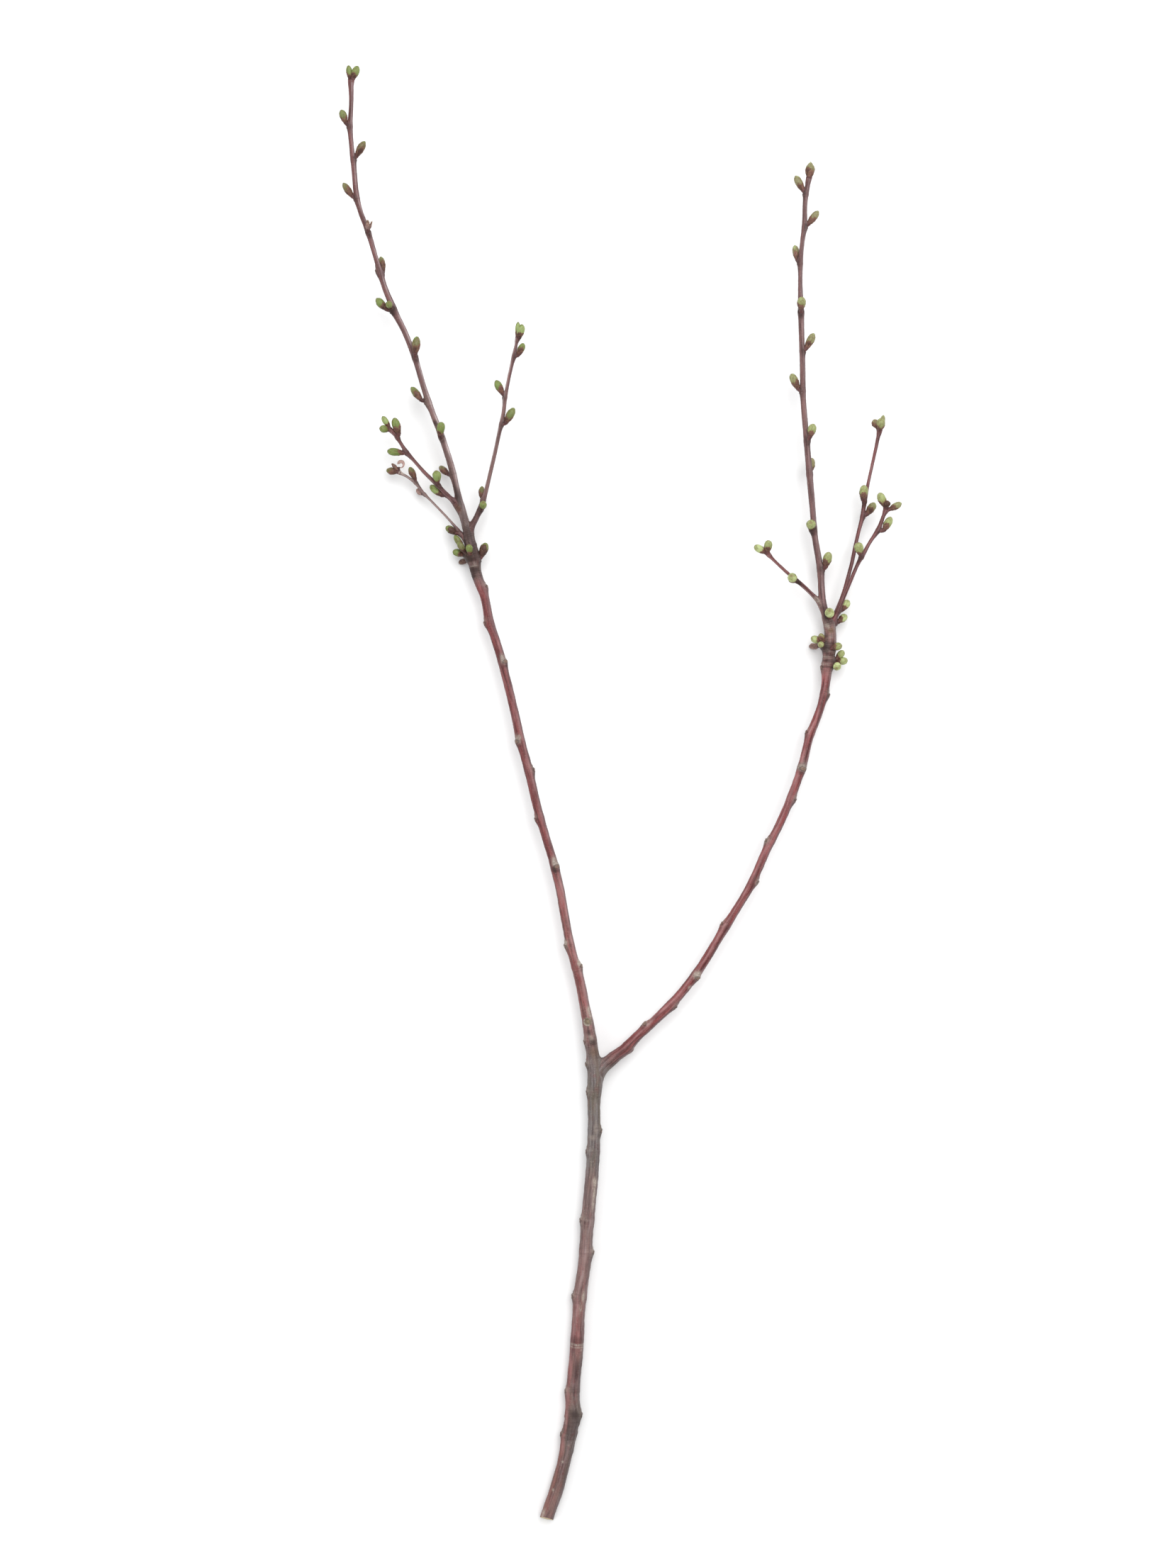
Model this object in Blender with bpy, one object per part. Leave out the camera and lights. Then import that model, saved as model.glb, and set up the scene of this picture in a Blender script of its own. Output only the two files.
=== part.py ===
"""A cut cherry branch in swelling bud, lying on a flat surface.

The wood is one piece: a stem that forks into two limbs, each ending in a
one-year leader shoot with side twigs. Every bud, or cluster of buds that share
one base, is a piece of its own that sits on a short spur of the wood.

Frame: metres, +Z up from the surface, +Y from the cut end towards the tips,
+X to the right. The origin is the centre of the base of the bounding box.
"""

import math

import bmesh
import bpy
import numpy as np
from mathutils import Matrix, Vector

# ---------------------------------------------------------------- dimensions
UNIT = 0.0005        # one plan unit is 0.5 mm on the surface
MIDDLE_U = 829.5     # plan units, counted from the left
MIDDLE_V = 1106.0    # plan units, counted from the far (tip) end
SIGHT_HEIGHT = 1.65  # m, the plan is what is seen from this height over its middle
ORIGIN_X = 0.0227    # m, from the middle of the plan to the origin of the part
ORIGIN_Y = -0.0121
GAP = 0.0003         # m, between a bud and the wood that carries it
MM = 0.001
STEPS = {"leader": 0.0150, "right_limb": 0.0150, "thin_twig": 0.0100}  # m between rings

# Each axis: u, v in plan units, height of the centre line in mm, diameter in mm.
LEADER = [           # stem, left limb, left leader shoot
    (769.5, 2146, 4.75, 9.4), (778, 2122, 4.85, 9.6), (786, 2098, 4.85, 9.7),
    (796, 2060, 5.1, 9.2), (803, 2025, 5.5, 10.3), (808, 1995, 5.8, 10.8),
    (808, 1965, 5.8, 9.6), (811, 1930, 5.9, 9.4), (814, 1895, 6.2, 9.6),
    (816, 1860, 6.4, 8.9), (819, 1822, 6.8, 9.3), (825, 1780, 7.3, 9.1),
    (828, 1735, 7.9, 9.1), (832, 1690, 8.6, 9.3), (836, 1645, 9.3, 9.1),
    (838, 1600, 10.0, 8.7), (838, 1555, 10.8, 8.9), (839, 1520, 11.4, 9.1),
    (836, 1488, 12.0, 8.8), (831, 1452, 12.6, 8.2), (825, 1420, 13.1, 7.2),
    (817, 1380, 13.6, 6.8), (806, 1340, 14.1, 6.1), (798, 1300, 14.5, 6.0),
    (790, 1255, 14.9, 6.1), (780, 1214, 15.1, 5.9), (769, 1178, 15.3, 5.7),
    (757, 1135, 15.4, 5.9), (746, 1088, 15.4, 6.1), (734, 1043, 15.3, 6.2),
    (727, 1010, 15.2, 5.9), (715, 960, 15.0, 5.8), (703, 915, 14.6, 6.0),
    (691, 878, 14.3, 6.1), (683.5, 842, 14.0, 6.1), (673, 812, 13.6, 7.4),
    (668.5, 790, 13.4, 7.9), (663, 762, 13.4, 7.3), (656, 736, 13.8, 5.9),
    (646.5, 700, 14.8, 4.6), (637, 660, 16.0, 4.5), (624.5, 620, 17.4, 4.4),
    (610, 582, 18.9, 4.1), (597, 544, 20.5, 3.9), (586, 507, 22.3, 4.1),
    (573, 473, 24.0, 4.0), (556.5, 439, 25.8, 4.5), (542, 403, 27.8, 3.9),
    (530, 363, 30.0, 3.4), (518.5, 325, 32.0, 3.7), (508, 297, 33.4, 3.5),
    (502.5, 272, 34.6, 3.7), (499.5, 240, 36.0, 3.6), (496, 207, 37.3, 3.3),
    (494, 178, 38.4, 3.4), (495.5, 145, 39.4, 3.1), (495, 113, 40.2, 3.9),
]
RIGHT_LIMB = [       # right limb and right leader shoot
    (838, 1536, 11.2, 5.0), (842, 1521, 11.4, 6.8), (850, 1507.5, 11.8, 8.2),
    (864, 1493.5, 12.4, 8.9), (882, 1479.5, 13.0, 7.8), (900, 1461, 13.8, 6.7),
    (921, 1442, 14.7, 6.4),
    (941, 1423, 15.6, 6.6), (961, 1401, 16.5, 6.2), (981, 1375.5, 17.4, 6.3),
    (1000, 1346.5, 18.2, 6.0), (1020, 1313, 19.0, 6.2), (1040, 1281, 19.5, 5.7),
    (1060, 1247, 19.8, 5.8), (1081, 1200, 19.9, 5.9), (1101, 1160, 19.6, 5.7),
    (1118, 1120, 19.0, 5.9), (1131.5, 1081, 18.1, 6.0), (1142, 1040, 17.0, 5.7),
    (1157, 1000, 15.6, 5.6), (1164, 970, 14.6, 5.9), (1167, 943, 13.8, 7.0),
    (1170, 915, 13.0, 7.8), (1171, 890, 12.6, 8.4), (1165, 868, 12.8, 5.8),
    (1160, 845, 13.3, 5.0), (1157, 802, 14.3, 4.7), (1150, 760, 15.4, 4.2),
    (1146.5, 720, 16.6, 4.1), (1143, 680, 17.9, 4.5), (1139.5, 640, 19.1, 4.2),
    (1136, 600, 20.3, 4.0), (1133, 560, 21.6, 3.9), (1132.3, 520, 22.9, 3.9),
    (1131.3, 488, 23.9, 3.7), (1130, 440, 25.4, 4.2), (1129, 400, 26.6, 3.1),
    (1129.6, 365, 27.7, 3.4), (1132, 340, 28.4, 3.1), (1135, 316, 29.1, 3.5),
    (1135.7, 288, 30.0, 3.3), (1139.2, 262, 30.8, 3.3), (1141, 252, 31.2, 3.6),
]
LEFT_OUTER_TWIG = [  # leans right, away from the left leader
    (660, 765, 13.2, 2.8), (663, 753, 13.7, 4.6), (666, 742, 14.6, 4.4), (673, 728, 16.2, 4.0),
    (679.5, 713, 18.0, 3.7), (684.5, 697, 19.8, 3.1), (691, 670, 22.8, 2.8),
    (698.5, 638, 26.2, 2.7), (705, 607, 29.3, 2.8), (710, 584, 31.6, 2.8),
    (713, 560, 33.8, 2.6), (718, 533, 36.2, 2.4), (724.5, 503, 38.6, 2.6),
    (728, 487, 39.8, 2.3), (730, 477, 40.4, 2.6),
]
LEFT_UPPER_TWIG = [  # leans left from the left leader
    (655, 732, 13.7, 2.4), (651.5, 723.5, 14.0, 4.4), (647.5, 716.5, 14.3, 6.0), (641, 708.5, 14.9, 4.2), (634, 701, 15.7, 3.1),
    (625, 692.5, 16.6, 2.9), (611, 678.5, 18.2, 2.8), (597, 664.5, 19.8, 2.6),
    (585, 651, 21.2, 2.4), (574, 638, 22.6, 2.9), (565, 625, 23.8, 2.3),
    (557, 613, 24.8, 2.7), (551.5, 606.5, 25.4, 2.8),
]
LEFT_THIN_TWIG = [   # a weak twig below it
    (663, 777, 12.8, 2.2), (659, 767, 12.3, 3.6), (654, 758, 11.8, 3.3), (647, 749, 11.2, 2.7),
    (640, 740.5, 10.8, 1.9), (626, 725, 10.4, 1.6), (611, 709.5, 10.4, 1.6),
    (598, 696, 10.6, 1.8), (586, 681.5, 11.0, 2.0), (575, 673, 11.4, 1.8),
    (562, 666, 12.0, 2.1),
]
RIGHT_INNER_TWIG = [  # leans left from the right leader
    (1164, 868, 12.6, 2.2), (1159.5, 857.5, 13.1, 3.6), (1153.5, 847, 14.2, 3.6), (1144, 837, 15.4, 2.8),
    (1130, 824, 17.4, 2.9), (1117, 813.5, 19.2, 2.4), (1104, 802, 21.0, 2.3),
    (1093, 791.5, 22.6, 2.2), (1083.5, 781.5, 24.0, 2.8),
]
RIGHT_LONG_TWIG = [  # the lower of the pair on the right
    (1171, 892, 12.2, 2.8), (1175, 879, 12.2, 4.8), (1179, 867, 12.2, 3.8), (1185.5, 850, 12.0, 3.2),
    (1191.5, 832, 11.8, 2.8), (1197, 812, 11.8, 2.7), (1202, 793, 12.0, 2.7),
    (1206, 773, 12.4, 2.7), (1211, 751, 13.0, 2.7), (1216, 731, 13.8, 2.8),
    (1219.5, 710, 14.8, 2.9), (1223.5, 688, 16.0, 2.4), (1229.5, 660, 17.6, 2.2),
    (1235.5, 633, 19.2, 2.4), (1238.5, 618, 20.2, 2.6), (1241, 608, 20.8, 2.9),
]
RIGHT_SHORT_TWIG = [  # the upper of the pair
    (1170, 888, 12.4, 2.4), (1175, 876.5, 13.6, 4.2), (1181, 864, 16.2, 3.4), (1188.5, 847, 18.4, 2.8),
    (1196, 829, 20.8, 2.6), (1203.5, 811, 23.2, 2.5), (1210.5, 795, 25.4, 2.6),
    (1217, 783.5, 27.2, 2.9), (1226, 767, 29.4, 2.5), (1234.5, 753.5, 31.2, 2.7),
    (1241, 742.5, 32.6, 2.9), (1246, 729, 34.0, 2.6), (1250, 719, 35.0, 3.1),
]
AXES = {
    "leader": LEADER, "right_limb": RIGHT_LIMB,
    "outer_twig": LEFT_OUTER_TWIG, "upper_twig": LEFT_UPPER_TWIG,
    "thin_twig": LEFT_THIN_TWIG, "inner_twig": RIGHT_INNER_TWIG,
    "long_twig": RIGHT_LONG_TWIG, "short_twig": RIGHT_SHORT_TWIG,
}

# Each bud: the axis that carries it, its base u, v, its tip u, v, its widest
# diameter in mm, and how far its base and its tip lie above (+) or below (-)
# the centre line of that axis, in mm. The rows of one node are one solid.
BUDS = {
    "terminal_buds_left_leader": [
        ("leader", 494, 112, 491.5, 92, 4.2, 0.0, 1.0),
        ("leader", 498, 113, 505, 94, 5.2, 0.8, 2.4)],
    "bud_left_leader_01": [("leader", 490.5, 174, 483, 155, 5.0, 0.6, 2.4)],
    "bud_left_leader_02": [("leader", 503, 220, 515, 199, 5.0, 0.5, 2.0)],
    "bud_left_leader_03": [("leader", 497, 277, 484, 258, 4.7, 0.0, -1.5)],
    "withered_bud_left_leader": [("leader", 518.5, 325, 521, 311, 4.2, 2.0, 4.5)],
    "bud_left_leader_04": [("leader", 540, 384, 537, 362, 4.7, -2.2, -4.6)],
    "bud_left_leader_05": [("leader", 545, 436, 530.5, 421, 5.5, 0.6, 1.4)],
    "bud_left_leader_06": [("leader", 549.5, 433, 548.5, 427, 4.6, 3.6, 10.4)],
    "bud_left_leader_07": [("leader", 584.5, 500, 587.5, 475, 5.6, 2.2, 4.2)],
    "bud_left_leader_08": [("leader", 594, 564, 580, 546, 4.9, -0.6, -2.4)],
    "bud_left_leader_09": [("leader", 620.5, 615, 623, 596, 5.7, 2.4, 5.0)],
    "bud_left_leader_10": [("leader", 632, 669, 620, 658, 4.6, -3.0, -8.0)],
    "terminal_buds_left_outer_twig": [
        ("outer_twig", 731.5, 480, 736.5, 459, 5.4, 0.8, 2.2),
        ("outer_twig", 729.5, 476, 731, 454, 3.6, -0.6, -1.0)],
    "bud_left_outer_twig_01": [("outer_twig", 729, 501, 737.5, 484, 4.7, 0.4, 1.0)],
    "bud_left_outer_twig_02": [("outer_twig", 712, 556, 701, 537, 5.1, 0.2, 1.4)],
    "bud_left_outer_twig_03": [("outer_twig", 711.5, 596, 724, 575, 5.4, 0.5, 2.0)],
    "bud_left_outer_twig_04": [("outer_twig", 680.5, 704, 680, 686, 4.5, -2.2, -4.4)],
    "bud_left_outer_twig_05": [("outer_twig", 681, 716, 682, 709, 5.0, 2.6, 9.4)],
    "terminal_buds_left_upper_twig": [
        ("upper_twig", 549, 603, 539.5, 587, 4.2, -0.6, -0.2),
        ("upper_twig", 550, 608, 536, 605, 5.0, 0.4, 3.4)],
    "bud_left_upper_twig_01": [("upper_twig", 561, 613, 555, 590, 5.7, 1.2, 3.0)],
    "bud_left_upper_twig_02": [("upper_twig", 568, 639, 546, 636.5, 5.3, 0.2, 1.2)],
    "bud_left_upper_twig_03": [("upper_twig", 616, 681, 614.5, 664.5, 5.9, 1.6, 6.0)],
    "bud_left_upper_twig_04": [("upper_twig", 624, 698, 607, 684.5, 5.3, -1.6, -3.2)],
    "terminal_bud_left_thin_twig": [
        ("thin_twig", 563, 667, 546, 664, 4.7, -0.2, 0.0),
        ("thin_twig", 563, 664.5, 553, 654, 2.6, 0.4, 1.8),
        ("thin_twig", 569, 663.5, 569, 647, 3.6, 0.8, 1.8)],
    "bud_left_thin_twig_01": [("thin_twig", 584.5, 677, 577, 660, 4.5, 0.4, 1.4)],
    "bud_left_thin_twig_02": [("thin_twig", 597, 696, 588, 690, 4.8, -1.4, -4.6)],
    "bud_left_spur_01": [("thin_twig", 646, 750, 630.5, 741.5, 5.0, 0.4, 1.0)],
    "buds_left_spur_02": [
        ("leader", 653, 773, 641, 755, 4.4, 0.6, 0.6),
        ("leader", 656, 779, 646, 764, 4.4, 2.2, 4.6)],
    "bud_left_spur_03": [("leader", 653.5, 782.5, 638.5, 777.5, 5.0, -2.4, -1.4)],
    "bud_left_spur_04": [("leader", 663, 781, 661, 768, 4.8, 5.0, 9.0)],
    "bud_left_spur_05": [("leader", 659, 790.5, 647.5, 794, 4.0, -4.4, -13.06)],
    "bud_left_spur_06": [("leader", 675, 786, 684, 766, 5.7, 0.4, 1.4)],
    "terminal_bud_right_leader": [("right_limb", 1141, 253, 1143.5, 229, 6.4, 0.0, 0.4)],
    "bud_right_leader_01": [("right_limb", 1134.5, 269, 1123, 248, 5.1, -0.2, 0.8)],
    "bud_right_leader_02": [("right_limb", 1140, 316, 1154.5, 297.5, 4.9, 0.5, 1.6)],
    "bud_right_leader_03": [("right_limb", 1126, 367, 1122, 346, 4.7, -1.4, -3.4)],
    "bud_right_leader_04": [("right_limb", 1130, 436, 1131.3, 418.5, 5.9, 3.0, 7.2)],
    "bud_right_leader_05": [("right_limb", 1137, 491, 1148, 470, 5.4, 1.0, 2.2)],
    "bud_right_leader_06": [("right_limb", 1127.5, 548, 1117, 527, 5.5, 0.2, 1.4)],
    "bud_right_leader_07": [("right_limb", 1141.5, 616, 1147, 598, 5.7, 2.2, 4.8)],
    "bud_right_leader_08": [("right_limb", 1142.5, 665, 1145, 646, 5.8, -3.0, -6.4)],
    "bud_right_leader_09": [("right_limb", 1144.5, 743, 1143.7, 737, 6.4, 3.6, 11.6)],
    "bud_right_leader_10": [("right_limb", 1162.5, 799, 1168.5, 778.5, 6.1, 1.2, 3.0)],
    "terminal_buds_right_inner_twig": [
        ("inner_twig", 1079.5, 779, 1064, 770, 5.3, -0.4, 0.4),
        ("inner_twig", 1082.5, 778, 1084.5, 762, 5.7, 0.8, 3.0)],
    "bud_right_inner_twig_01": [("inner_twig", 1119, 819, 1116.5, 812, 6.4, 2.6, 10.0)],
    "terminal_buds_right_long_twig": [
        ("long_twig", 1241, 608, 1243.5, 590.5, 6.0, 1.0, 4.2),
        ("long_twig", 1242.5, 603, 1246.5, 585.5, 3.8, -1.8, -2.6),
        ("long_twig", 1238, 603, 1232.5, 592, 5.2, -1.0, 1.6)],
    "bud_right_long_twig_01": [("long_twig", 1218, 704, 1220, 684.5, 5.9, 2.6, 4.6)],
    "bud_right_long_twig_02": [("long_twig", 1223.5, 725, 1234.5, 709, 5.5, 0.2, 1.4)],
    "terminal_buds_right_short_twig": [
        ("short_twig", 1248.5, 714, 1240, 695, 5.7, 0.0, 1.2),
        ("short_twig", 1255, 718.5, 1272, 709.5, 4.7, 0.0, 0.8),
        ("short_twig", 1251, 716, 1252, 706, 4.4, 1.2, 2.8)],
    "bud_right_short_twig_01": [("short_twig", 1243.5, 745.5, 1254.5, 727.5, 5.5, 0.4, 1.6)],
    "bud_right_short_twig_02": [("short_twig", 1214, 781, 1209.5, 765.5, 6.3, 2.8, 6.8)],
    "bud_right_spur_01": [("short_twig", 1186.5, 859, 1195.5, 846, 5.6, -1.6, -2.2)],
    "bud_right_spur_02": [("long_twig", 1183, 877, 1194.5, 867.5, 5.3, -0.8, -1.2)],
    "bud_right_spur_03": [("right_limb", 1170.5, 868.5, 1170.3, 861.5, 6.4, 5.0, 12.6)],
    "buds_right_spur_04": [
        ("right_limb", 1158, 905, 1144, 899.5, 5.1, 1.2, 2.6),
        ("right_limb", 1161, 905, 1157, 893.5, 4.2, 3.2, 4.4),
        ("right_limb", 1160, 909, 1156.5, 909.5, 4.2, 4.0, 9.2)],
    "bud_right_spur_05": [("right_limb", 1155, 911.5, 1142, 911.5, 4.3, -3.6, -12.61)],
    "bud_right_spur_06": [("right_limb", 1173.5, 914, 1187.5, 910.5, 5.3, 4.4, 6.4)],
    "buds_right_spur_07": [
        ("right_limb", 1180.5, 929, 1190.5, 918, 4.9, -0.6, 0.0),
        ("right_limb", 1180.5, 933.5, 1196, 931.5, 5.3, -1.6, -1.4),
        ("right_limb", 1182, 936.5, 1180, 943, 5.4, 2.6, 8.4)],
}
# How wide a bud is along its length: share of its length, share of its width.
BUD_PROFILE = [(0.0, 0.46), (0.15, 0.65), (0.32, 0.85), (0.58, 1.0), (0.84, 0.80), (1.0, 0.28)]

# Old leaf scars: the axis, the u, v of the scar, its side as an angle round
# the axis (0 right, 90 up, 180 left) and how far it stands proud in mm.
SCARS = [
    ("leader", 808, 1994, 0, 1.3), ("leader", 806, 1962, 180, 1.3),
    ("leader", 802, 2023, 180, 1.2), ("leader", 820, 1828, 180, 1.6),
    ("leader", 826, 1765, 0, 1.6), ("leader", 829, 1721, 180, 1.3),
    ("leader", 837, 1624, 180, 1.2), ("leader", 838, 1594, 0, 1.4),
    ("leader", 838, 1541, 180, 0.9), ("leader", 836, 1499, 180, 1.6),
    ("leader", 829, 1440, 90, 1.3), ("leader", 833, 1468, 180, 0.9),
    ("leader", 813, 1363, 0, 1.5), ("leader", 804, 1332, 180, 1.7),
    ("leader", 782, 1222, 60, 1.1), ("leader", 762, 1153, 180, 1.5),
    ("leader", 746, 1087, 0, 1.5), ("leader", 733, 1044, 150, 1.2),
    ("leader", 709, 934, 40, 1.2), ("leader", 690, 877, 180, 1.6),
    ("leader", 680, 829, 0, 1.5), ("leader", 598, 571, 190, 0.8),
    ("leader", 535, 381, 180, 1.5), ("right_limb", 1147.5, 745, 180, 1.3),
    ("right_limb", 885, 1474, -20, 1.3), ("right_limb", 915, 1447, 160, 1.4),
    ("right_limb", 948, 1416, 0, 1.4), ("right_limb", 981, 1376, 40, 1.2),
    ("right_limb", 1024, 1306, 180, 1.1), ("right_limb", 1064, 1242, 0, 1.5),
    ("right_limb", 1087, 1188, 180, 1.4), ("right_limb", 1116, 1126, 0, 1.3),
    ("right_limb", 1131, 1083, 70, 1.0), ("right_limb", 1144, 1034, 180, 1.4),
    ("right_limb", 1162, 979, 0, 1.6), ("right_limb", 1167, 942, 180, 1.3),
]

WOOD_COLOUR = (0.165, 0.070, 0.055, 1.0)
BUD_COLOUR = (0.300, 0.330, 0.105, 1.0)
WITHERED_COLOUR = (0.150, 0.060, 0.035, 1.0)


# ---------------------------------------------------------------- helpers
def place(u, v, height_mm):
    """The point that lies at this height on the line of sight to u, v."""
    z = height_mm * MM
    share = 1.0 - z / SIGHT_HEIGHT
    return Vector(((u - MIDDLE_U) * UNIT * share - ORIGIN_X,
                   (MIDDLE_V - v) * UNIT * share - ORIGIN_Y, z))


def spline(a, b, c, d, t):
    """Catmull-Rom between b and c, for numbers or vectors."""
    return 0.5 * (2 * b + (c - a) * t + (2 * a - 5 * b + 4 * c - d) * t * t
                  + (3 * b - a - 3 * c + d) * t * t * t)


def run_of(axis, step):
    """Centre points and radii along an axis, about step metres apart."""
    points = [place(u, v, z) for u, v, z, _ in axis]
    radii = [d / 2 * MM for _, _, _, d in axis]
    points = [2 * points[0] - points[1]] + points + [2 * points[-1] - points[-2]]
    radii = [radii[0]] + radii + [radii[-1]]
    run = []
    for i in range(1, len(points) - 2):
        count = max(1, round((points[i + 1] - points[i]).length / step))
        for k in range(count):
            t = k / count
            run.append((spline(*points[i - 1:i + 3], t),
                        points_radius(radii[i - 1:i + 3], t)))
    run.append((points[-2], radii[-2]))
    return run


def points_radius(four, t):
    return max(0.0004, spline(*four, t))


def nearest(run, point):
    """The index of the run's point that lies nearest in plan."""
    return min(range(len(run)), key=lambda i: (run[i][0] - point).xy.length)


def direction(run, i):
    a, b = run[max(i - 1, 0)][0], run[min(i + 1, len(run) - 1)][0]
    return (b - a).normalized()


def rod(name, run, resolution=2):
    """A closed mesh round a line of (point, radius), made with a bevelled curve."""
    data = bpy.data.curves.new(name, "CURVE")
    data.dimensions = "3D"
    data.bevel_depth = 1.0
    data.bevel_resolution = resolution
    data.use_fill_caps = True
    line = data.splines.new("POLY")
    line.points.add(len(run) - 1)
    for point, (co, radius) in zip(line.points, run):
        point.co = (*co, 1.0)
        point.radius = radius
    guide = bpy.data.objects.new(name, data)
    bpy.context.scene.collection.objects.link(guide)
    bpy.context.view_layer.update()
    graph = bpy.context.evaluated_depsgraph_get()
    mesh = bpy.data.meshes.new_from_object(guide.evaluated_get(graph))
    bpy.data.objects.remove(guide)
    bm = bmesh.new()
    bm.from_mesh(mesh)
    bmesh.ops.remove_doubles(bm, verts=bm.verts, dist=1e-6)
    bmesh.ops.recalc_face_normals(bm, faces=bm.faces)
    bm.to_mesh(mesh)
    bm.free()
    mesh.name = name
    return bpy.data.objects.new(name, mesh)


def unite(body, others):
    """Joins closed meshes to body with one Boolean union."""
    group = bpy.data.collections.new("joined_" + body.name)
    HELPERS.children.link(group)
    for other in others:
        other.hide_render = True
        other.display_type = "WIRE"
        group.objects.link(other)
    union = body.modifiers.new("union", "BOOLEAN")
    union.operation = "UNION"
    union.solver = "EXACT"
    union.operand_type = "COLLECTION"
    union.collection = group
    return body


def material(name, colour, roughness):
    made = bpy.data.materials.new(name)
    made.use_nodes = True
    shader = made.node_tree.nodes["Principled BSDF"]
    shader.inputs["Base Color"].default_value = colour
    shader.inputs["Roughness"].default_value = roughness
    shader.inputs["Metallic"].default_value = 0.0
    made.diffuse_color = colour
    return made


def finish(body, made):
    body.data.materials.clear()
    body.data.materials.append(made)
    BRANCH.objects.link(body)
    body.data.shade_smooth()
    return body


# ---------------------------------------------------------------- buds
def ring(centre, normal, radius, sides=8):
    """Points of a circle round a centre."""
    normal = normal.normalized()
    side = normal.cross(Vector((0, 0, 1)))
    if side.length < 0.1:
        side = normal.cross(Vector((0, 1, 0)))
    side.normalize()
    up = side.cross(normal)
    turns = [2 * math.pi * k / sides for k in range(sides)]
    return [centre + (side * math.cos(a) + up * math.sin(a)) * radius for a in turns]


def solid_object(name, bm):
    bmesh.ops.recalc_face_normals(bm, faces=bm.faces)
    mesh = bpy.data.meshes.new(name)
    bm.to_mesh(mesh)
    bm.free()
    return bpy.data.objects.new(name, mesh)


def hull(name, points):
    """The convex solid round some points."""
    bm = bmesh.new()
    for point in points:
        bm.verts.new(point)
    bmesh.ops.convex_hull(bm, input=bm.verts)
    bmesh.ops.delete(bm, geom=[v for v in bm.verts if not v.link_faces], context="VERTS")
    return solid_object(name, bm)


def bud_body(name, base, tip, radius):
    """A bud: round, widest below its middle, with a blunt tip."""
    bm = bmesh.new()
    rings = [[bm.verts.new(p) for p in ring(base.lerp(tip, t), tip - base, w * radius)]
             for t, w in BUD_PROFILE]
    bm.faces.new(rings[0])
    bm.faces.new(rings[-1])
    for low, high in zip(rings, rings[1:]):
        for k in range(len(low)):
            bm.faces.new((low[k - 1], low[k], high[k], high[k - 1]))
    return solid_object(name, bm)


def seat_of(axis, u, v, offset=0.0):
    """The run of an axis and the index of its point under u, v."""
    run = FINE[axis]
    seat = len(run) // 2
    for _ in range(4):
        seat = nearest(run, place(u, v, run[seat][0].z / MM + offset))
    return run, seat


def clear_of_wood(row):
    """A bud's seat, base and tip, moved out until it is clear of all the wood."""
    axis, ub, vb, ut, vt, width, low, high = row
    run, seat = seat_of(axis, ub, vb, low)
    height = run[seat][0].z / MM
    base, tip = place(ub, vb, height + low), place(ut, vt, height + high)
    radius = width / 2 * MM
    end = seat >= len(run) - 4           # it continues the end of its axis
    out = direction(run, len(run) - 1)
    stop = run[-1][0]
    tested = WOOD_RADII > 0
    if end:
        seat = len(run) - 1
        tested = np.linalg.norm(WOOD_POINTS - np.array(stop), axis=1) > 0.0035
    points, radii = WOOD_POINTS[tested], WOOD_RADII[tested]
    for _ in range(80):
        worst, push, share = 1e-5, None, 0.0
        for t, w in BUD_PROFILE:
            at = base.lerp(tip, t)
            if t > 0.1:
                away = np.array(at) - points
                length = np.linalg.norm(away, axis=1)
                short = radii + w * radius + 1.3 * GAP - length
                k = int(short.argmax())
                if short[k] > worst:
                    worst, push, share = float(short[k]), Vector(away[k]).normalized(), t
            if end:
                lean = (tip - base).normalized().cross(out).length
                short = 1.1 * GAP + w * radius * lean - (at - stop).dot(out)
                if short > worst:
                    worst, push, share = short, out, t
        if push is None:
            break
        base = base + push * worst * (1.0 - 0.5 * share)
        tip = tip + push * worst * (0.5 + 0.5 * share)
    return run, seat, base, tip, radius


def spur(name, placed):
    """The short stalk of wood under a bud, which ends a gap short of it."""
    run, seat, base, tip, radius = placed[0]
    root, thick = run[seat]
    way = (tip - base).normalized()
    stalk = 0.50 * radius
    end = base - way * GAP
    foot = root - direction(run, seat) * min(0.0022, 0.8 * thick)
    wide = min(0.82 * thick, 1.9 * stalk)
    points = ring(foot, end - foot, wide, 6) + ring(root, end - root, 0.9 * wide, 6) + ring(end, way, stalk)
    for _ in range(12):                  # every point stays behind the buds it carries
        for _, _, low, high, _ in placed:
            ahead = (high - low).normalized()
            points = [p - ahead * max(0.0, (p - low).dot(ahead) + GAP) for p in points]
    return hull(name, points)


def bridge(name, first, other):
    """Joins two buds that share a base."""
    a, b = first[0].lerp(first[1], 0.24), other[0].lerp(other[1], 0.24)
    thick = 0.42 * min(first[2], other[2])
    return hull(name, ring(a, b - a, thick, 6) + ring(b, b - a, thick, 6))


def leaf_scar(name, row):
    """An old leaf scar: a low cushion on the side of the wood."""
    axis, u, v, angle, proud = row
    run, seat = seat_of(axis, u, v)
    root, thick = run[seat]
    way = direction(run, seat)
    right = way.cross(Vector((0, 0, 1))).normalized()
    up = right.cross(way).normalized()
    turn = math.radians(angle)
    out = right * math.cos(turn) + up * math.sin(turn)
    across = way.cross(out).normalized()
    points = []
    for depth, reach, wide in ((0.30 * thick, 0.0038, 0.80 * thick),
                               (thick + proud * MM, 0.0014, 0.45 * thick)):
        centre = root + out * depth - way * (0.0011 if depth < thick else 0.0)
        points += [centre + way * (reach * math.cos(a)) + across * (wide * math.sin(a))
                   for a in (math.tau * k / 8 for k in range(8))]
    return hull(name, points)


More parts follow.
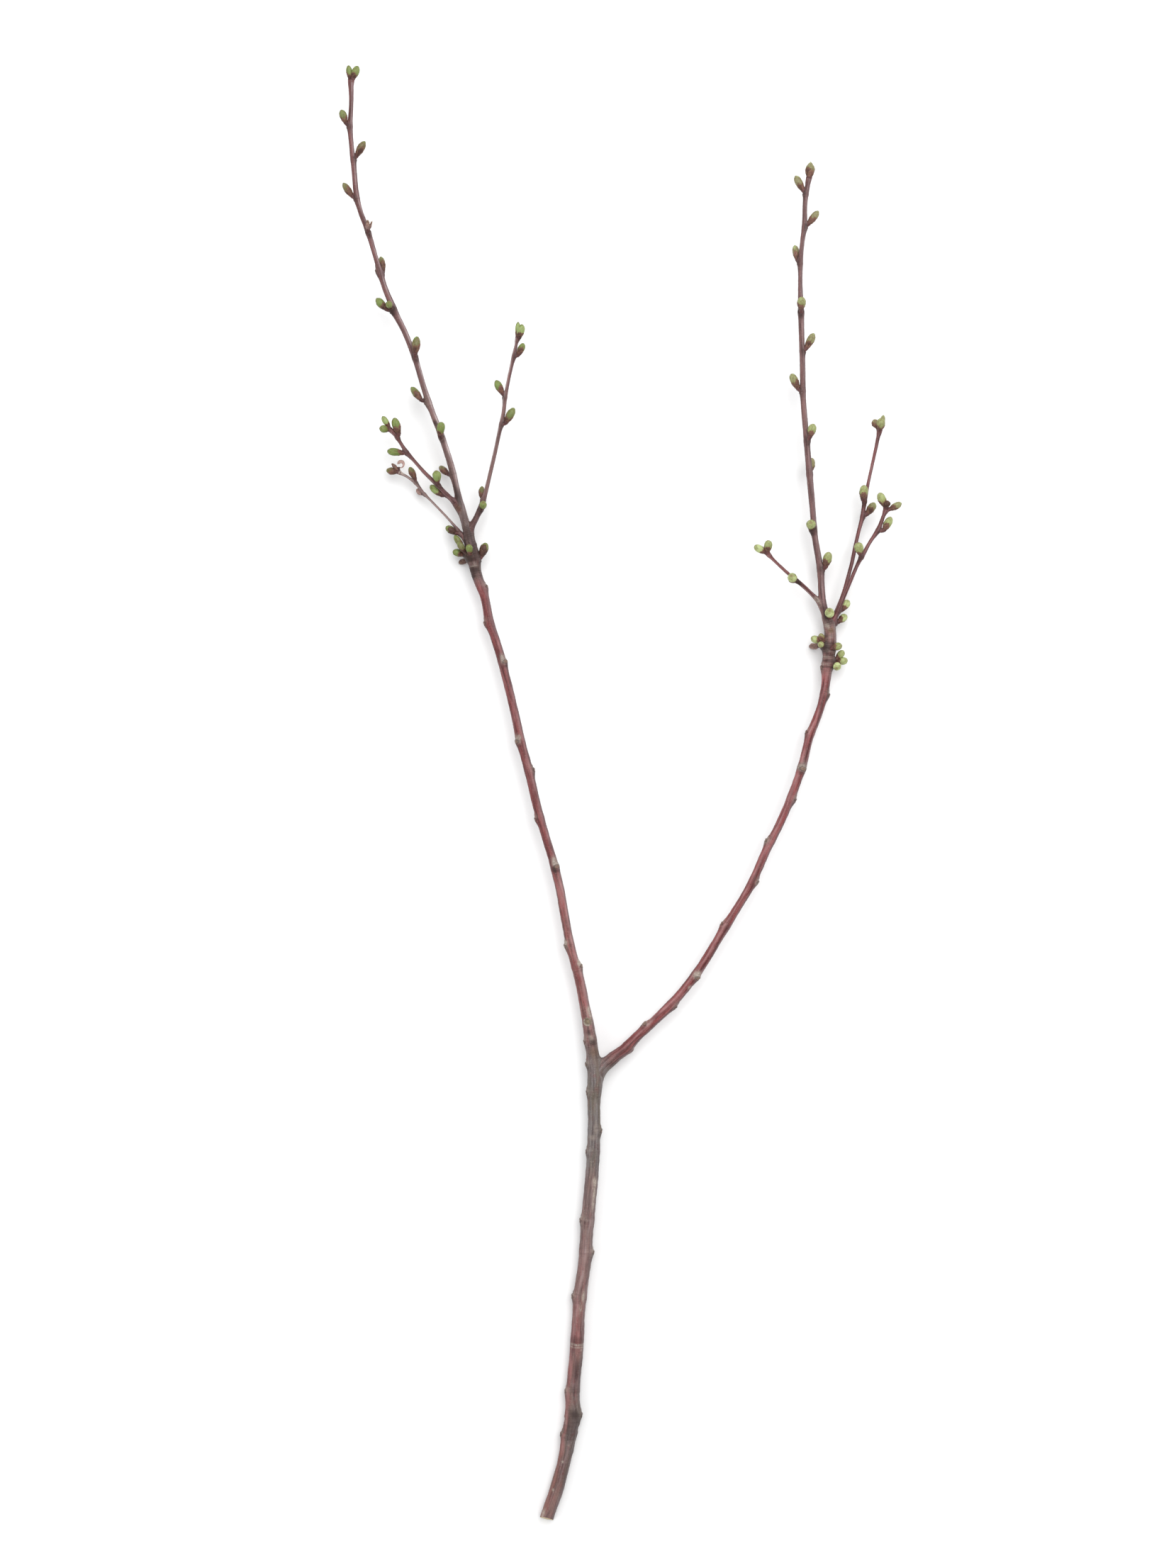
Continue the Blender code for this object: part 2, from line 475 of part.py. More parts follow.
# ---------------------------------------------------------------- build
for old in list(bpy.data.objects):
    bpy.data.objects.remove(old)
BRANCH = bpy.data.collections.new("cherry_branch")
HELPERS = bpy.data.collections.new("helpers")
bpy.context.scene.collection.children.link(BRANCH)
bpy.context.scene.collection.children.link(HELPERS)
HELPERS.hide_render = True

FINE = {name: run_of(axis, 0.0015) for name, axis in AXES.items()}
WOOD_POINTS = np.array([point for run in FINE.values() for point, _ in run])
WOOD_RADII = np.array([radius for run in FINE.values() for _, radius in run])
limbs = [rod(name, run_of(axis, STEPS.get(name, 0.0090))) for name, axis in AXES.items()]

bark = material("bark", WOOD_COLOUR, 0.45)
green = material("bud_green", BUD_COLOUR, 0.50)
brown = material("withered_brown", WITHERED_COLOUR, 0.70)

spurs = []
for node, rows in BUDS.items():
    placed = [clear_of_wood(row) for row in rows]
    lobes = [bud_body(f"{node}_{k}" if k else node, *one[2:]) for k, one in enumerate(placed)]
    lobes += [bridge(f"{node}_bridge_{k}", placed[0][2:], one[2:]) for k, one in enumerate(placed) if k]
    spurs.append(spur(f"{node}_spur", placed))
    finish(lobes[0], brown if node.startswith("withered") else green)
    if len(lobes) > 1:
        unite(lobes[0], lobes[1:])

scars = [leaf_scar(f"leaf_scar_{k:02d}", row) for k, row in enumerate(SCARS)]

wood = limbs[0]
wood.name = "branch_wood"
finish(wood, bark)
unite(wood, limbs[1:] + spurs + scars)

# the stem is cut off with a slanting cut, which faces down the stem and up
cut_at = place(770.5, 2142, 4.9)
bpy.ops.mesh.primitive_cube_add(size=0.06)
knife = bpy.context.object
knife.name = "knife"
face = Vector((-0.22, -0.90, 0.38)).normalized()
knife.matrix_world = Matrix.Translation(cut_at + face * 0.03) @ face.to_track_quat("Z", "Y").to_matrix().to_4x4()
for holder in list(knife.users_collection):
    holder.objects.unlink(knife)
HELPERS.objects.link(knife)
knife.hide_render = True
knife.display_type = "WIRE"
trim = wood.modifiers.new("slanting_cut", "BOOLEAN")
trim.operation = "DIFFERENCE"
trim.solver = "EXACT"
trim.object = knife
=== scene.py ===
"""The looks of a cut cherry branch in swelling bud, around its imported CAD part."""

import math

import bpy
import numpy as np
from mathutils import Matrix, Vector


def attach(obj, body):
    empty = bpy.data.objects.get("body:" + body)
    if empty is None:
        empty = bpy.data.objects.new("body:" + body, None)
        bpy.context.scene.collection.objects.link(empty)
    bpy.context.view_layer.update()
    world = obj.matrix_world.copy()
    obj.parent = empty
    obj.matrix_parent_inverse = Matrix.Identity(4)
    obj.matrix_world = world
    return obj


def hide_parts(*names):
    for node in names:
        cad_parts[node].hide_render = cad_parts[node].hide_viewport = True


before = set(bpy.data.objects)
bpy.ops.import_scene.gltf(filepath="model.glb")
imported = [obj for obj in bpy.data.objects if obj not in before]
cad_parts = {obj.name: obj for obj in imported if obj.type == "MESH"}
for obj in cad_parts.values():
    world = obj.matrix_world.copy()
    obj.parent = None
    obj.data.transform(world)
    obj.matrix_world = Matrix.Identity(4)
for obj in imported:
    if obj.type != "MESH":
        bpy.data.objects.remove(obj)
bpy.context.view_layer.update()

# ---------------------------------------------------------------- the plan, as in the part
UNIT = 0.0005        # one plan unit is 0.5 mm on the surface
MIDDLE_U = 829.5
MIDDLE_V = 1106.0
SIGHT_HEIGHT = 1.65  # m, the camera's height over the middle of the plan
ORIGIN_X = 0.0227
ORIGIN_Y = -0.0121
PLAN_TALL = 2212     # plan units in the height of the picture
GAP = 0.0003
MM = 0.001
BUD_PROFILE = [(0.0, 0.46), (0.15, 0.65), (0.32, 0.85), (0.58, 1.0), (0.84, 0.80), (1.0, 0.28)]

# Each axis: u, v in plan units, height of the centre line in mm, diameter in mm.
LEADER = [           # stem, left limb, left leader shoot
    (769.5, 2146, 4.75, 9.4), (778, 2122, 4.85, 9.6), (786, 2098, 4.85, 9.7),
    (796, 2060, 5.1, 9.2), (803, 2025, 5.5, 10.3), (808, 1995, 5.8, 10.8),
    (808, 1965, 5.8, 9.6), (811, 1930, 5.9, 9.4), (814, 1895, 6.2, 9.6),
    (816, 1860, 6.4, 8.9), (819, 1822, 6.8, 9.3), (825, 1780, 7.3, 9.1),
    (828, 1735, 7.9, 9.1), (832, 1690, 8.6, 9.3), (836, 1645, 9.3, 9.1),
    (838, 1600, 10.0, 8.7), (838, 1555, 10.8, 8.9), (839, 1520, 11.4, 9.1),
    (836, 1488, 12.0, 8.8), (831, 1452, 12.6, 8.2), (825, 1420, 13.1, 7.2),
    (817, 1380, 13.6, 6.8), (806, 1340, 14.1, 6.1), (798, 1300, 14.5, 6.0),
    (790, 1255, 14.9, 6.1), (780, 1214, 15.1, 5.9), (769, 1178, 15.3, 5.7),
    (757, 1135, 15.4, 5.9), (746, 1088, 15.4, 6.1), (734, 1043, 15.3, 6.2),
    (727, 1010, 15.2, 5.9), (715, 960, 15.0, 5.8), (703, 915, 14.6, 6.0),
    (691, 878, 14.3, 6.1), (683.5, 842, 14.0, 6.1), (673, 812, 13.6, 7.4),
    (668.5, 790, 13.4, 7.9), (663, 762, 13.4, 7.3), (656, 736, 13.8, 5.9),
    (646.5, 700, 14.8, 4.6), (637, 660, 16.0, 4.5), (624.5, 620, 17.4, 4.4),
    (610, 582, 18.9, 4.1), (597, 544, 20.5, 3.9), (586, 507, 22.3, 4.1),
    (573, 473, 24.0, 4.0), (556.5, 439, 25.8, 4.5), (542, 403, 27.8, 3.9),
    (530, 363, 30.0, 3.4), (518.5, 325, 32.0, 3.7), (508, 297, 33.4, 3.5),
    (502.5, 272, 34.6, 3.7), (499.5, 240, 36.0, 3.6), (496, 207, 37.3, 3.3),
    (494, 178, 38.4, 3.4), (495.5, 145, 39.4, 3.1), (495, 113, 40.2, 3.9),
]
RIGHT_LIMB = [       # right limb and right leader shoot
    (838, 1536, 11.2, 5.0), (842, 1521, 11.4, 6.8), (850, 1507.5, 11.8, 8.2),
    (864, 1493.5, 12.4, 8.9), (882, 1479.5, 13.0, 7.8), (900, 1461, 13.8, 6.7),
    (921, 1442, 14.7, 6.4),
    (941, 1423, 15.6, 6.6), (961, 1401, 16.5, 6.2), (981, 1375.5, 17.4, 6.3),
    (1000, 1346.5, 18.2, 6.0), (1020, 1313, 19.0, 6.2), (1040, 1281, 19.5, 5.7),
    (1060, 1247, 19.8, 5.8), (1081, 1200, 19.9, 5.9), (1101, 1160, 19.6, 5.7),
    (1118, 1120, 19.0, 5.9), (1131.5, 1081, 18.1, 6.0), (1142, 1040, 17.0, 5.7),
    (1157, 1000, 15.6, 5.6), (1164, 970, 14.6, 5.9), (1167, 943, 13.8, 7.0),
    (1170, 915, 13.0, 7.8), (1171, 890, 12.6, 8.4), (1165, 868, 12.8, 5.8),
    (1160, 845, 13.3, 5.0), (1157, 802, 14.3, 4.7), (1150, 760, 15.4, 4.2),
    (1146.5, 720, 16.6, 4.1), (1143, 680, 17.9, 4.5), (1139.5, 640, 19.1, 4.2),
    (1136, 600, 20.3, 4.0), (1133, 560, 21.6, 3.9), (1132.3, 520, 22.9, 3.9),
    (1131.3, 488, 23.9, 3.7), (1130, 440, 25.4, 4.2), (1129, 400, 26.6, 3.1),
    (1129.6, 365, 27.7, 3.4), (1132, 340, 28.4, 3.1), (1135, 316, 29.1, 3.5),
    (1135.7, 288, 30.0, 3.3), (1139.2, 262, 30.8, 3.3), (1141, 252, 31.2, 3.6),
]
LEFT_OUTER_TWIG = [  # leans right, away from the left leader
    (660, 765, 13.2, 2.8), (663, 753, 13.7, 4.6), (666, 742, 14.6, 4.4), (673, 728, 16.2, 4.0),
    (679.5, 713, 18.0, 3.7), (684.5, 697, 19.8, 3.1), (691, 670, 22.8, 2.8),
    (698.5, 638, 26.2, 2.7), (705, 607, 29.3, 2.8), (710, 584, 31.6, 2.8),
    (713, 560, 33.8, 2.6), (718, 533, 36.2, 2.4), (724.5, 503, 38.6, 2.6),
    (728, 487, 39.8, 2.3), (730, 477, 40.4, 2.6),
]
LEFT_UPPER_TWIG = [  # leans left from the left leader
    (655, 732, 13.7, 2.4), (651.5, 723.5, 14.0, 4.4), (647.5, 716.5, 14.3, 6.0), (641, 708.5, 14.9, 4.2), (634, 701, 15.7, 3.1),
    (625, 692.5, 16.6, 2.9), (611, 678.5, 18.2, 2.8), (597, 664.5, 19.8, 2.6),
    (585, 651, 21.2, 2.4), (574, 638, 22.6, 2.9), (565, 625, 23.8, 2.3),
    (557, 613, 24.8, 2.7), (551.5, 606.5, 25.4, 2.8),
]
LEFT_THIN_TWIG = [   # a weak twig below it
    (663, 777, 12.8, 2.2), (659, 767, 12.3, 3.6), (654, 758, 11.8, 3.3), (647, 749, 11.2, 2.7),
    (640, 740.5, 10.8, 1.9), (626, 725, 10.4, 1.6), (611, 709.5, 10.4, 1.6),
    (598, 696, 10.6, 1.8), (586, 681.5, 11.0, 2.0), (575, 673, 11.4, 1.8),
    (562, 666, 12.0, 2.1),
]
RIGHT_INNER_TWIG = [  # leans left from the right leader
    (1164, 868, 12.6, 2.2), (1159.5, 857.5, 13.1, 3.6), (1153.5, 847, 14.2, 3.6), (1144, 837, 15.4, 2.8),
    (1130, 824, 17.4, 2.9), (1117, 813.5, 19.2, 2.4), (1104, 802, 21.0, 2.3),
    (1093, 791.5, 22.6, 2.2), (1083.5, 781.5, 24.0, 2.8),
]
RIGHT_LONG_TWIG = [  # the lower of the pair on the right
    (1171, 892, 12.2, 2.8), (1175, 879, 12.2, 4.8), (1179, 867, 12.2, 3.8), (1185.5, 850, 12.0, 3.2),
    (1191.5, 832, 11.8, 2.8), (1197, 812, 11.8, 2.7), (1202, 793, 12.0, 2.7),
    (1206, 773, 12.4, 2.7), (1211, 751, 13.0, 2.7), (1216, 731, 13.8, 2.8),
    (1219.5, 710, 14.8, 2.9), (1223.5, 688, 16.0, 2.4), (1229.5, 660, 17.6, 2.2),
    (1235.5, 633, 19.2, 2.4), (1238.5, 618, 20.2, 2.6), (1241, 608, 20.8, 2.9),
]
RIGHT_SHORT_TWIG = [  # the upper of the pair
    (1170, 888, 12.4, 2.4), (1175, 876.5, 13.6, 4.2), (1181, 864, 16.2, 3.4), (1188.5, 847, 18.4, 2.8),
    (1196, 829, 20.8, 2.6), (1203.5, 811, 23.2, 2.5), (1210.5, 795, 25.4, 2.6),
    (1217, 783.5, 27.2, 2.9), (1226, 767, 29.4, 2.5), (1234.5, 753.5, 31.2, 2.7),
    (1241, 742.5, 32.6, 2.9), (1246, 729, 34.0, 2.6), (1250, 719, 35.0, 3.1),
]
AXES = {
    "leader": LEADER, "right_limb": RIGHT_LIMB,
    "outer_twig": LEFT_OUTER_TWIG, "upper_twig": LEFT_UPPER_TWIG,
    "thin_twig": LEFT_THIN_TWIG, "inner_twig": RIGHT_INNER_TWIG,
    "long_twig": RIGHT_LONG_TWIG, "short_twig": RIGHT_SHORT_TWIG,
}

# Each bud: the axis that carries it, its base u, v, its tip u, v, its widest
# diameter in mm, and how far its base and its tip lie above (+) or below (-)
# the centre line of that axis, in mm. The rows of one node are one solid.
BUDS = {
    "terminal_buds_left_leader": [
        ("leader", 494, 112, 491.5, 92, 4.2, 0.0, 1.0),
        ("leader", 498, 113, 505, 94, 5.2, 0.8, 2.4)],
    "bud_left_leader_01": [("leader", 490.5, 174, 483, 155, 5.0, 0.6, 2.4)],
    "bud_left_leader_02": [("leader", 503, 220, 515, 199, 5.0, 0.5, 2.0)],
    "bud_left_leader_03": [("leader", 497, 277, 484, 258, 4.7, 0.0, -1.5)],
    "withered_bud_left_leader": [("leader", 518.5, 325, 521, 311, 4.2, 2.0, 4.5)],
    "bud_left_leader_04": [("leader", 540, 384, 537, 362, 4.7, -2.2, -4.6)],
    "bud_left_leader_05": [("leader", 545, 436, 530.5, 421, 5.5, 0.6, 1.4)],
    "bud_left_leader_06": [("leader", 549.5, 433, 548.5, 427, 4.6, 3.6, 10.4)],
    "bud_left_leader_07": [("leader", 584.5, 500, 587.5, 475, 5.6, 2.2, 4.2)],
    "bud_left_leader_08": [("leader", 594, 564, 580, 546, 4.9, -0.6, -2.4)],
    "bud_left_leader_09": [("leader", 620.5, 615, 623, 596, 5.7, 2.4, 5.0)],
    "bud_left_leader_10": [("leader", 632, 669, 620, 658, 4.6, -3.0, -8.0)],
    "terminal_buds_left_outer_twig": [
        ("outer_twig", 731.5, 480, 736.5, 459, 5.4, 0.8, 2.2),
        ("outer_twig", 729.5, 476, 731, 454, 3.6, -0.6, -1.0)],
    "bud_left_outer_twig_01": [("outer_twig", 729, 501, 737.5, 484, 4.7, 0.4, 1.0)],
    "bud_left_outer_twig_02": [("outer_twig", 712, 556, 701, 537, 5.1, 0.2, 1.4)],
    "bud_left_outer_twig_03": [("outer_twig", 711.5, 596, 724, 575, 5.4, 0.5, 2.0)],
    "bud_left_outer_twig_04": [("outer_twig", 680.5, 704, 680, 686, 4.5, -2.2, -4.4)],
    "bud_left_outer_twig_05": [("outer_twig", 681, 716, 682, 709, 5.0, 2.6, 9.4)],
    "terminal_buds_left_upper_twig": [
        ("upper_twig", 549, 603, 539.5, 587, 4.2, -0.6, -0.2),
        ("upper_twig", 550, 608, 536, 605, 5.0, 0.4, 3.4)],
    "bud_left_upper_twig_01": [("upper_twig", 561, 613, 555, 590, 5.7, 1.2, 3.0)],
    "bud_left_upper_twig_02": [("upper_twig", 568, 639, 546, 636.5, 5.3, 0.2, 1.2)],
    "bud_left_upper_twig_03": [("upper_twig", 616, 681, 614.5, 664.5, 5.9, 1.6, 6.0)],
    "bud_left_upper_twig_04": [("upper_twig", 624, 698, 607, 684.5, 5.3, -1.6, -3.2)],
    "terminal_bud_left_thin_twig": [
        ("thin_twig", 563, 667, 546, 664, 4.7, -0.2, 0.0),
        ("thin_twig", 563, 664.5, 553, 654, 2.6, 0.4, 1.8),
        ("thin_twig", 569, 663.5, 569, 647, 3.6, 0.8, 1.8)],
    "bud_left_thin_twig_01": [("thin_twig", 584.5, 677, 577, 660, 4.5, 0.4, 1.4)],
    "bud_left_thin_twig_02": [("thin_twig", 597, 696, 588, 690, 4.8, -1.4, -4.6)],
    "bud_left_spur_01": [("thin_twig", 646, 750, 630.5, 741.5, 5.0, 0.4, 1.0)],
    "buds_left_spur_02": [
        ("leader", 653, 773, 641, 755, 4.4, 0.6, 0.6),
        ("leader", 656, 779, 646, 764, 4.4, 2.2, 4.6)],
    "bud_left_spur_03": [("leader", 653.5, 782.5, 638.5, 777.5, 5.0, -2.4, -1.4)],
    "bud_left_spur_04": [("leader", 663, 781, 661, 768, 4.8, 5.0, 9.0)],
    "bud_left_spur_05": [("leader", 659, 790.5, 647.5, 794, 4.0, -4.4, -13.06)],
    "bud_left_spur_06": [("leader", 675, 786, 684, 766, 5.7, 0.4, 1.4)],
    "terminal_bud_right_leader": [("right_limb", 1141, 253, 1143.5, 229, 6.4, 0.0, 0.4)],
    "bud_right_leader_01": [("right_limb", 1134.5, 269, 1123, 248, 5.1, -0.2, 0.8)],
    "bud_right_leader_02": [("right_limb", 1140, 316, 1154.5, 297.5, 4.9, 0.5, 1.6)],
    "bud_right_leader_03": [("right_limb", 1126, 367, 1122, 346, 4.7, -1.4, -3.4)],
    "bud_right_leader_04": [("right_limb", 1130, 436, 1131.3, 418.5, 5.9, 3.0, 7.2)],
    "bud_right_leader_05": [("right_limb", 1137, 491, 1148, 470, 5.4, 1.0, 2.2)],
    "bud_right_leader_06": [("right_limb", 1127.5, 548, 1117, 527, 5.5, 0.2, 1.4)],
    "bud_right_leader_07": [("right_limb", 1141.5, 616, 1147, 598, 5.7, 2.2, 4.8)],
    "bud_right_leader_08": [("right_limb", 1142.5, 665, 1145, 646, 5.8, -3.0, -6.4)],
    "bud_right_leader_09": [("right_limb", 1144.5, 743, 1143.7, 737, 6.4, 3.6, 11.6)],
    "bud_right_leader_10": [("right_limb", 1162.5, 799, 1168.5, 778.5, 6.1, 1.2, 3.0)],
    "terminal_buds_right_inner_twig": [
        ("inner_twig", 1079.5, 779, 1064, 770, 5.3, -0.4, 0.4),
        ("inner_twig", 1082.5, 778, 1084.5, 762, 5.7, 0.8, 3.0)],
    "bud_right_inner_twig_01": [("inner_twig", 1119, 819, 1116.5, 812, 6.4, 2.6, 10.0)],
    "terminal_buds_right_long_twig": [
        ("long_twig", 1241, 608, 1243.5, 590.5, 6.0, 1.0, 4.2),
        ("long_twig", 1242.5, 603, 1246.5, 585.5, 3.8, -1.8, -2.6),
        ("long_twig", 1238, 603, 1232.5, 592, 5.2, -1.0, 1.6)],
    "bud_right_long_twig_01": [("long_twig", 1218, 704, 1220, 684.5, 5.9, 2.6, 4.6)],
    "bud_right_long_twig_02": [("long_twig", 1223.5, 725, 1234.5, 709, 5.5, 0.2, 1.4)],
    "terminal_buds_right_short_twig": [
        ("short_twig", 1248.5, 714, 1240, 695, 5.7, 0.0, 1.2),
        ("short_twig", 1255, 718.5, 1272, 709.5, 4.7, 0.0, 0.8),
        ("short_twig", 1251, 716, 1252, 706, 4.4, 1.2, 2.8)],
    "bud_right_short_twig_01": [("short_twig", 1243.5, 745.5, 1254.5, 727.5, 5.5, 0.4, 1.6)],
    "bud_right_short_twig_02": [("short_twig", 1214, 781, 1209.5, 765.5, 6.3, 2.8, 6.8)],
    "bud_right_spur_01": [("short_twig", 1186.5, 859, 1195.5, 846, 5.6, -1.6, -2.2)],
    "bud_right_spur_02": [("long_twig", 1183, 877, 1194.5, 867.5, 5.3, -0.8, -1.2)],
    "bud_right_spur_03": [("right_limb", 1170.5, 868.5, 1170.3, 861.5, 6.4, 5.0, 12.6)],
    "buds_right_spur_04": [
        ("right_limb", 1158, 905, 1144, 899.5, 5.1, 1.2, 2.6),
        ("right_limb", 1161, 905, 1157, 893.5, 4.2, 3.2, 4.4),
        ("right_limb", 1160, 909, 1156.5, 909.5, 4.2, 4.0, 9.2)],
    "bud_right_spur_05": [("right_limb", 1155, 911.5, 1142, 911.5, 4.3, -3.6, -12.61)],
    "bud_right_spur_06": [("right_limb", 1173.5, 914, 1187.5, 910.5, 5.3, 4.4, 6.4)],
    "buds_right_spur_07": [
        ("right_limb", 1180.5, 929, 1190.5, 918, 4.9, -0.6, 0.0),
        ("right_limb", 1180.5, 933.5, 1196, 931.5, 5.3, -1.6, -1.4),
        ("right_limb", 1182, 936.5, 1180, 943, 5.4, 2.6, 8.4)],
}

# Old leaf scars: the axis, the u, v of the scar, its side as an angle round
# the axis (0 right, 90 up, 180 left) and how far it stands proud in mm.
SCARS = [
    ("leader", 808, 1994, 0, 1.3), ("leader", 806, 1962, 180, 1.3),
    ("leader", 802, 2023, 180, 1.2), ("leader", 820, 1828, 180, 1.6),
    ("leader", 826, 1765, 0, 1.6), ("leader", 829, 1721, 180, 1.3),
    ("leader", 837, 1624, 180, 1.2), ("leader", 838, 1594, 0, 1.4),
    ("leader", 838, 1541, 180, 0.9), ("leader", 836, 1499, 180, 1.6),
    ("leader", 829, 1440, 90, 1.3), ("leader", 833, 1468, 180, 0.9),
    ("leader", 813, 1363, 0, 1.5), ("leader", 804, 1332, 180, 1.7),
    ("leader", 782, 1222, 60, 1.1), ("leader", 762, 1153, 180, 1.5),
    ("leader", 746, 1087, 0, 1.5), ("leader", 733, 1044, 150, 1.2),
    ("leader", 709, 934, 40, 1.2), ("leader", 690, 877, 180, 1.6),
    ("leader", 680, 829, 0, 1.5), ("leader", 598, 571, 190, 0.8),
    ("leader", 535, 381, 180, 1.5), ("right_limb", 1147.5, 745, 180, 1.3),
    ("right_limb", 885, 1474, -20, 1.3), ("right_limb", 915, 1447, 160, 1.4),
    ("right_limb", 948, 1416, 0, 1.4), ("right_limb", 981, 1376, 40, 1.2),
    ("right_limb", 1024, 1306, 180, 1.1), ("right_limb", 1064, 1242, 0, 1.5),
    ("right_limb", 1087, 1188, 180, 1.4), ("right_limb", 1116, 1126, 0, 1.3),
    ("right_limb", 1131, 1083, 70, 1.0), ("right_limb", 1144, 1034, 180, 1.4),
    ("right_limb", 1162, 979, 0, 1.6), ("right_limb", 1167, 942, 180, 1.3),
]

# How a bud looks: share of its length that brown scales cover, how blunt its
# tip is, and how brown the rest is.
PLAIN_LOOK = (0.50, 2.2, 0.0)
FADED = {  # how pale the brown scales are, or below zero how dark
    "bud_left_thin_twig_02": 0.45, "terminal_bud_left_thin_twig#1": 0.15, "withered_bud_left_leader": 0.30,
    "bud_left_spur_01": -0.55, "bud_left_spur_06": -0.50, "bud_right_spur_05": 0.18, "terminal_buds_right_short_twig#2": -0.65,
    "buds_left_spur_02#1": -0.45, "bud_left_spur_05": -0.15,
}
WEAR_AND_PAINTED_LIGHT = {  # how olive and brown the green scales are; below zero, how much a painted highlight brightens them
    "bud_right_spur_01": -0.45, "bud_right_spur_02": -0.45, "bud_right_spur_03": -0.70, "buds_right_spur_04#0": -0.25,
    "buds_right_spur_04#2": -0.35, "buds_right_spur_07#1": -0.25, "buds_right_spur_07#2": -0.70,
    "terminal_buds_right_inner_twig#0": -0.50, "bud_right_inner_twig_01": -0.45, "terminal_buds_left_outer_twig": -0.55,
    "terminal_buds_left_upper_twig#0": -0.60, "bud_left_upper_twig_03": -0.30, "bud_left_upper_twig_04": -0.30,
    "bud_left_leader_06": 0.15, "terminal_buds_right_long_twig#2": 0.70, "bud_right_leader_08": 0.30,
    "buds_left_spur_02#1": 0.45,
    "terminal_bud_right_leader": 0.50, "bud_right_leader_01": 0.65, "bud_right_leader_02": 0.60,
    "bud_right_leader_03": 0.70, "bud_right_leader_04": 0.30, "bud_right_leader_05": 0.50, "bud_right_leader_06": 0.40,
    "terminal_buds_right_long_twig": 0.22, "bud_right_long_twig_02": 0.45, "terminal_buds_right_short_twig#1": 0.40,
    "terminal_buds_left_leader": -0.20, "bud_left_leader_01": 0.30, "bud_left_leader_02": 0.60,
    "bud_left_leader_03": 0.50, "bud_left_leader_04": 0.60, "bud_left_leader_07": 0.60, "bud_left_leader_08": 0.30,
    "bud_left_leader_10": 0.50, "terminal_buds_left_upper_twig": 0.06, "bud_left_spur_01": 0.30,
    "buds_left_spur_02": 0.25, "bud_left_thin_twig_01": 0.40, "terminal_bud_left_thin_twig": 0.40,
    "bud_left_spur_06": 0.20, "bud_left_outer_twig_04": 0.40, "bud_left_outer_twig_03": 0.20,
}
LOOKS = {
    "terminal_bud_right_leader": (0.55, 1.5, 0.15),
    "withered_bud_left_leader": (1.10, 1.7, 1.0),
    "terminal_bud_left_thin_twig#1": (1.05, 1.7, 1.0),
    "terminal_buds_right_short_twig#2": (1.05, 1.8, 1.0),
    "terminal_buds_right_long_twig#1": (0.55, 1.7, 0.1),
    "terminal_buds_right_long_twig#2": (0.80, 2.2, 0.5),
    "buds_right_spur_04#1": (0.78, 2.0, 0.45),
    "buds_right_spur_04#2": (0.45, 2.4, 0.15),
    "terminal_buds_left_leader": (0.48, 2.1, 0.10),
    "bud_left_leader_02": (0.70, 1.9, 0.25),
    "bud_left_leader_03": (0.58, 1.9, 0.20),
    "bud_left_leader_04": (0.60, 2.0, 0.15),
    "bud_left_leader_07": (0.64, 2.1, 0.05),
    "bud_left_leader_08": (0.60, 2.0, 0.10),
    "bud_left_leader_09": (0.32, 2.6, 0.0),
    "bud_left_leader_10": (0.68, 1.8, 0.30),
    "terminal_buds_left_outer_twig": (0.42, 1.9, 0.0),
    "bud_left_outer_twig_01": (0.66, 2.1, 0.05),
    "bud_left_outer_twig_04": (0.64, 1.8, 0.30),
    "bud_left_outer_twig_05": (0.34, 2.4, 0.0),
    "terminal_buds_left_upper_twig": (0.36, 2.2, 0.0),
    "bud_left_upper_twig_02": (0.34, 2.3, 0.0),
    "bud_left_upper_twig_03": (0.24, 2.5, 0.0),
    "bud_left_upper_twig_04": (0.40, 2.3, 0.0),
    "terminal_bud_left_thin_twig": (0.78, 1.9, 0.45),
    "bud_left_thin_twig_01": (0.68, 1.9, 0.35),
    "bud_left_thin_twig_02": (0.95, 2.0, 1.0),
    "bud_left_spur_01": (0.72, 2.2, 0.10),
    "buds_left_spur_02": (0.50, 2.2, 0.05),
    "bud_left_spur_03": (0.42, 2.3, 0.0),
    "bud_left_spur_04": (0.38, 2.3, 0.0),
    "bud_left_spur_05": (0.92, 2.0, 0.95),
    "bud_left_spur_06": (0.80, 2.2, 0.05),
    "bud_right_leader_08": (0.50, 2.2, 0.35),
    "bud_right_spur_01": (0.36, 2.4, 0.0),
    "bud_right_spur_03": (0.30, 2.6, 0.0),
    "bud_right_spur_05": (0.98, 2.0, 1.0),
    "buds_right_spur_07": (0.40, 2.4, 0.0),
    "bud_right_long_twig_02": (0.60, 2.3, 0.10),
    "bud_right_short_twig_02": (0.34, 2.4, 0.0),
    "terminal_buds_right_inner_twig": (0.42, 2.4, 0.0),
}


# ---------------------------------------------------------------- plan to space
def place(u, v, height_mm):
    z = height_mm * MM
    share = 1.0 - z / SIGHT_HEIGHT
    return np.array([(u - MIDDLE_U) * UNIT * share - ORIGIN_X,
                     (MIDDLE_V - v) * UNIT * share - ORIGIN_Y, z])


def unit(vectors):
    vectors = np.asarray(vectors, float)
    return vectors / np.maximum(np.linalg.norm(vectors, axis=-1, keepdims=True), 1e-12)


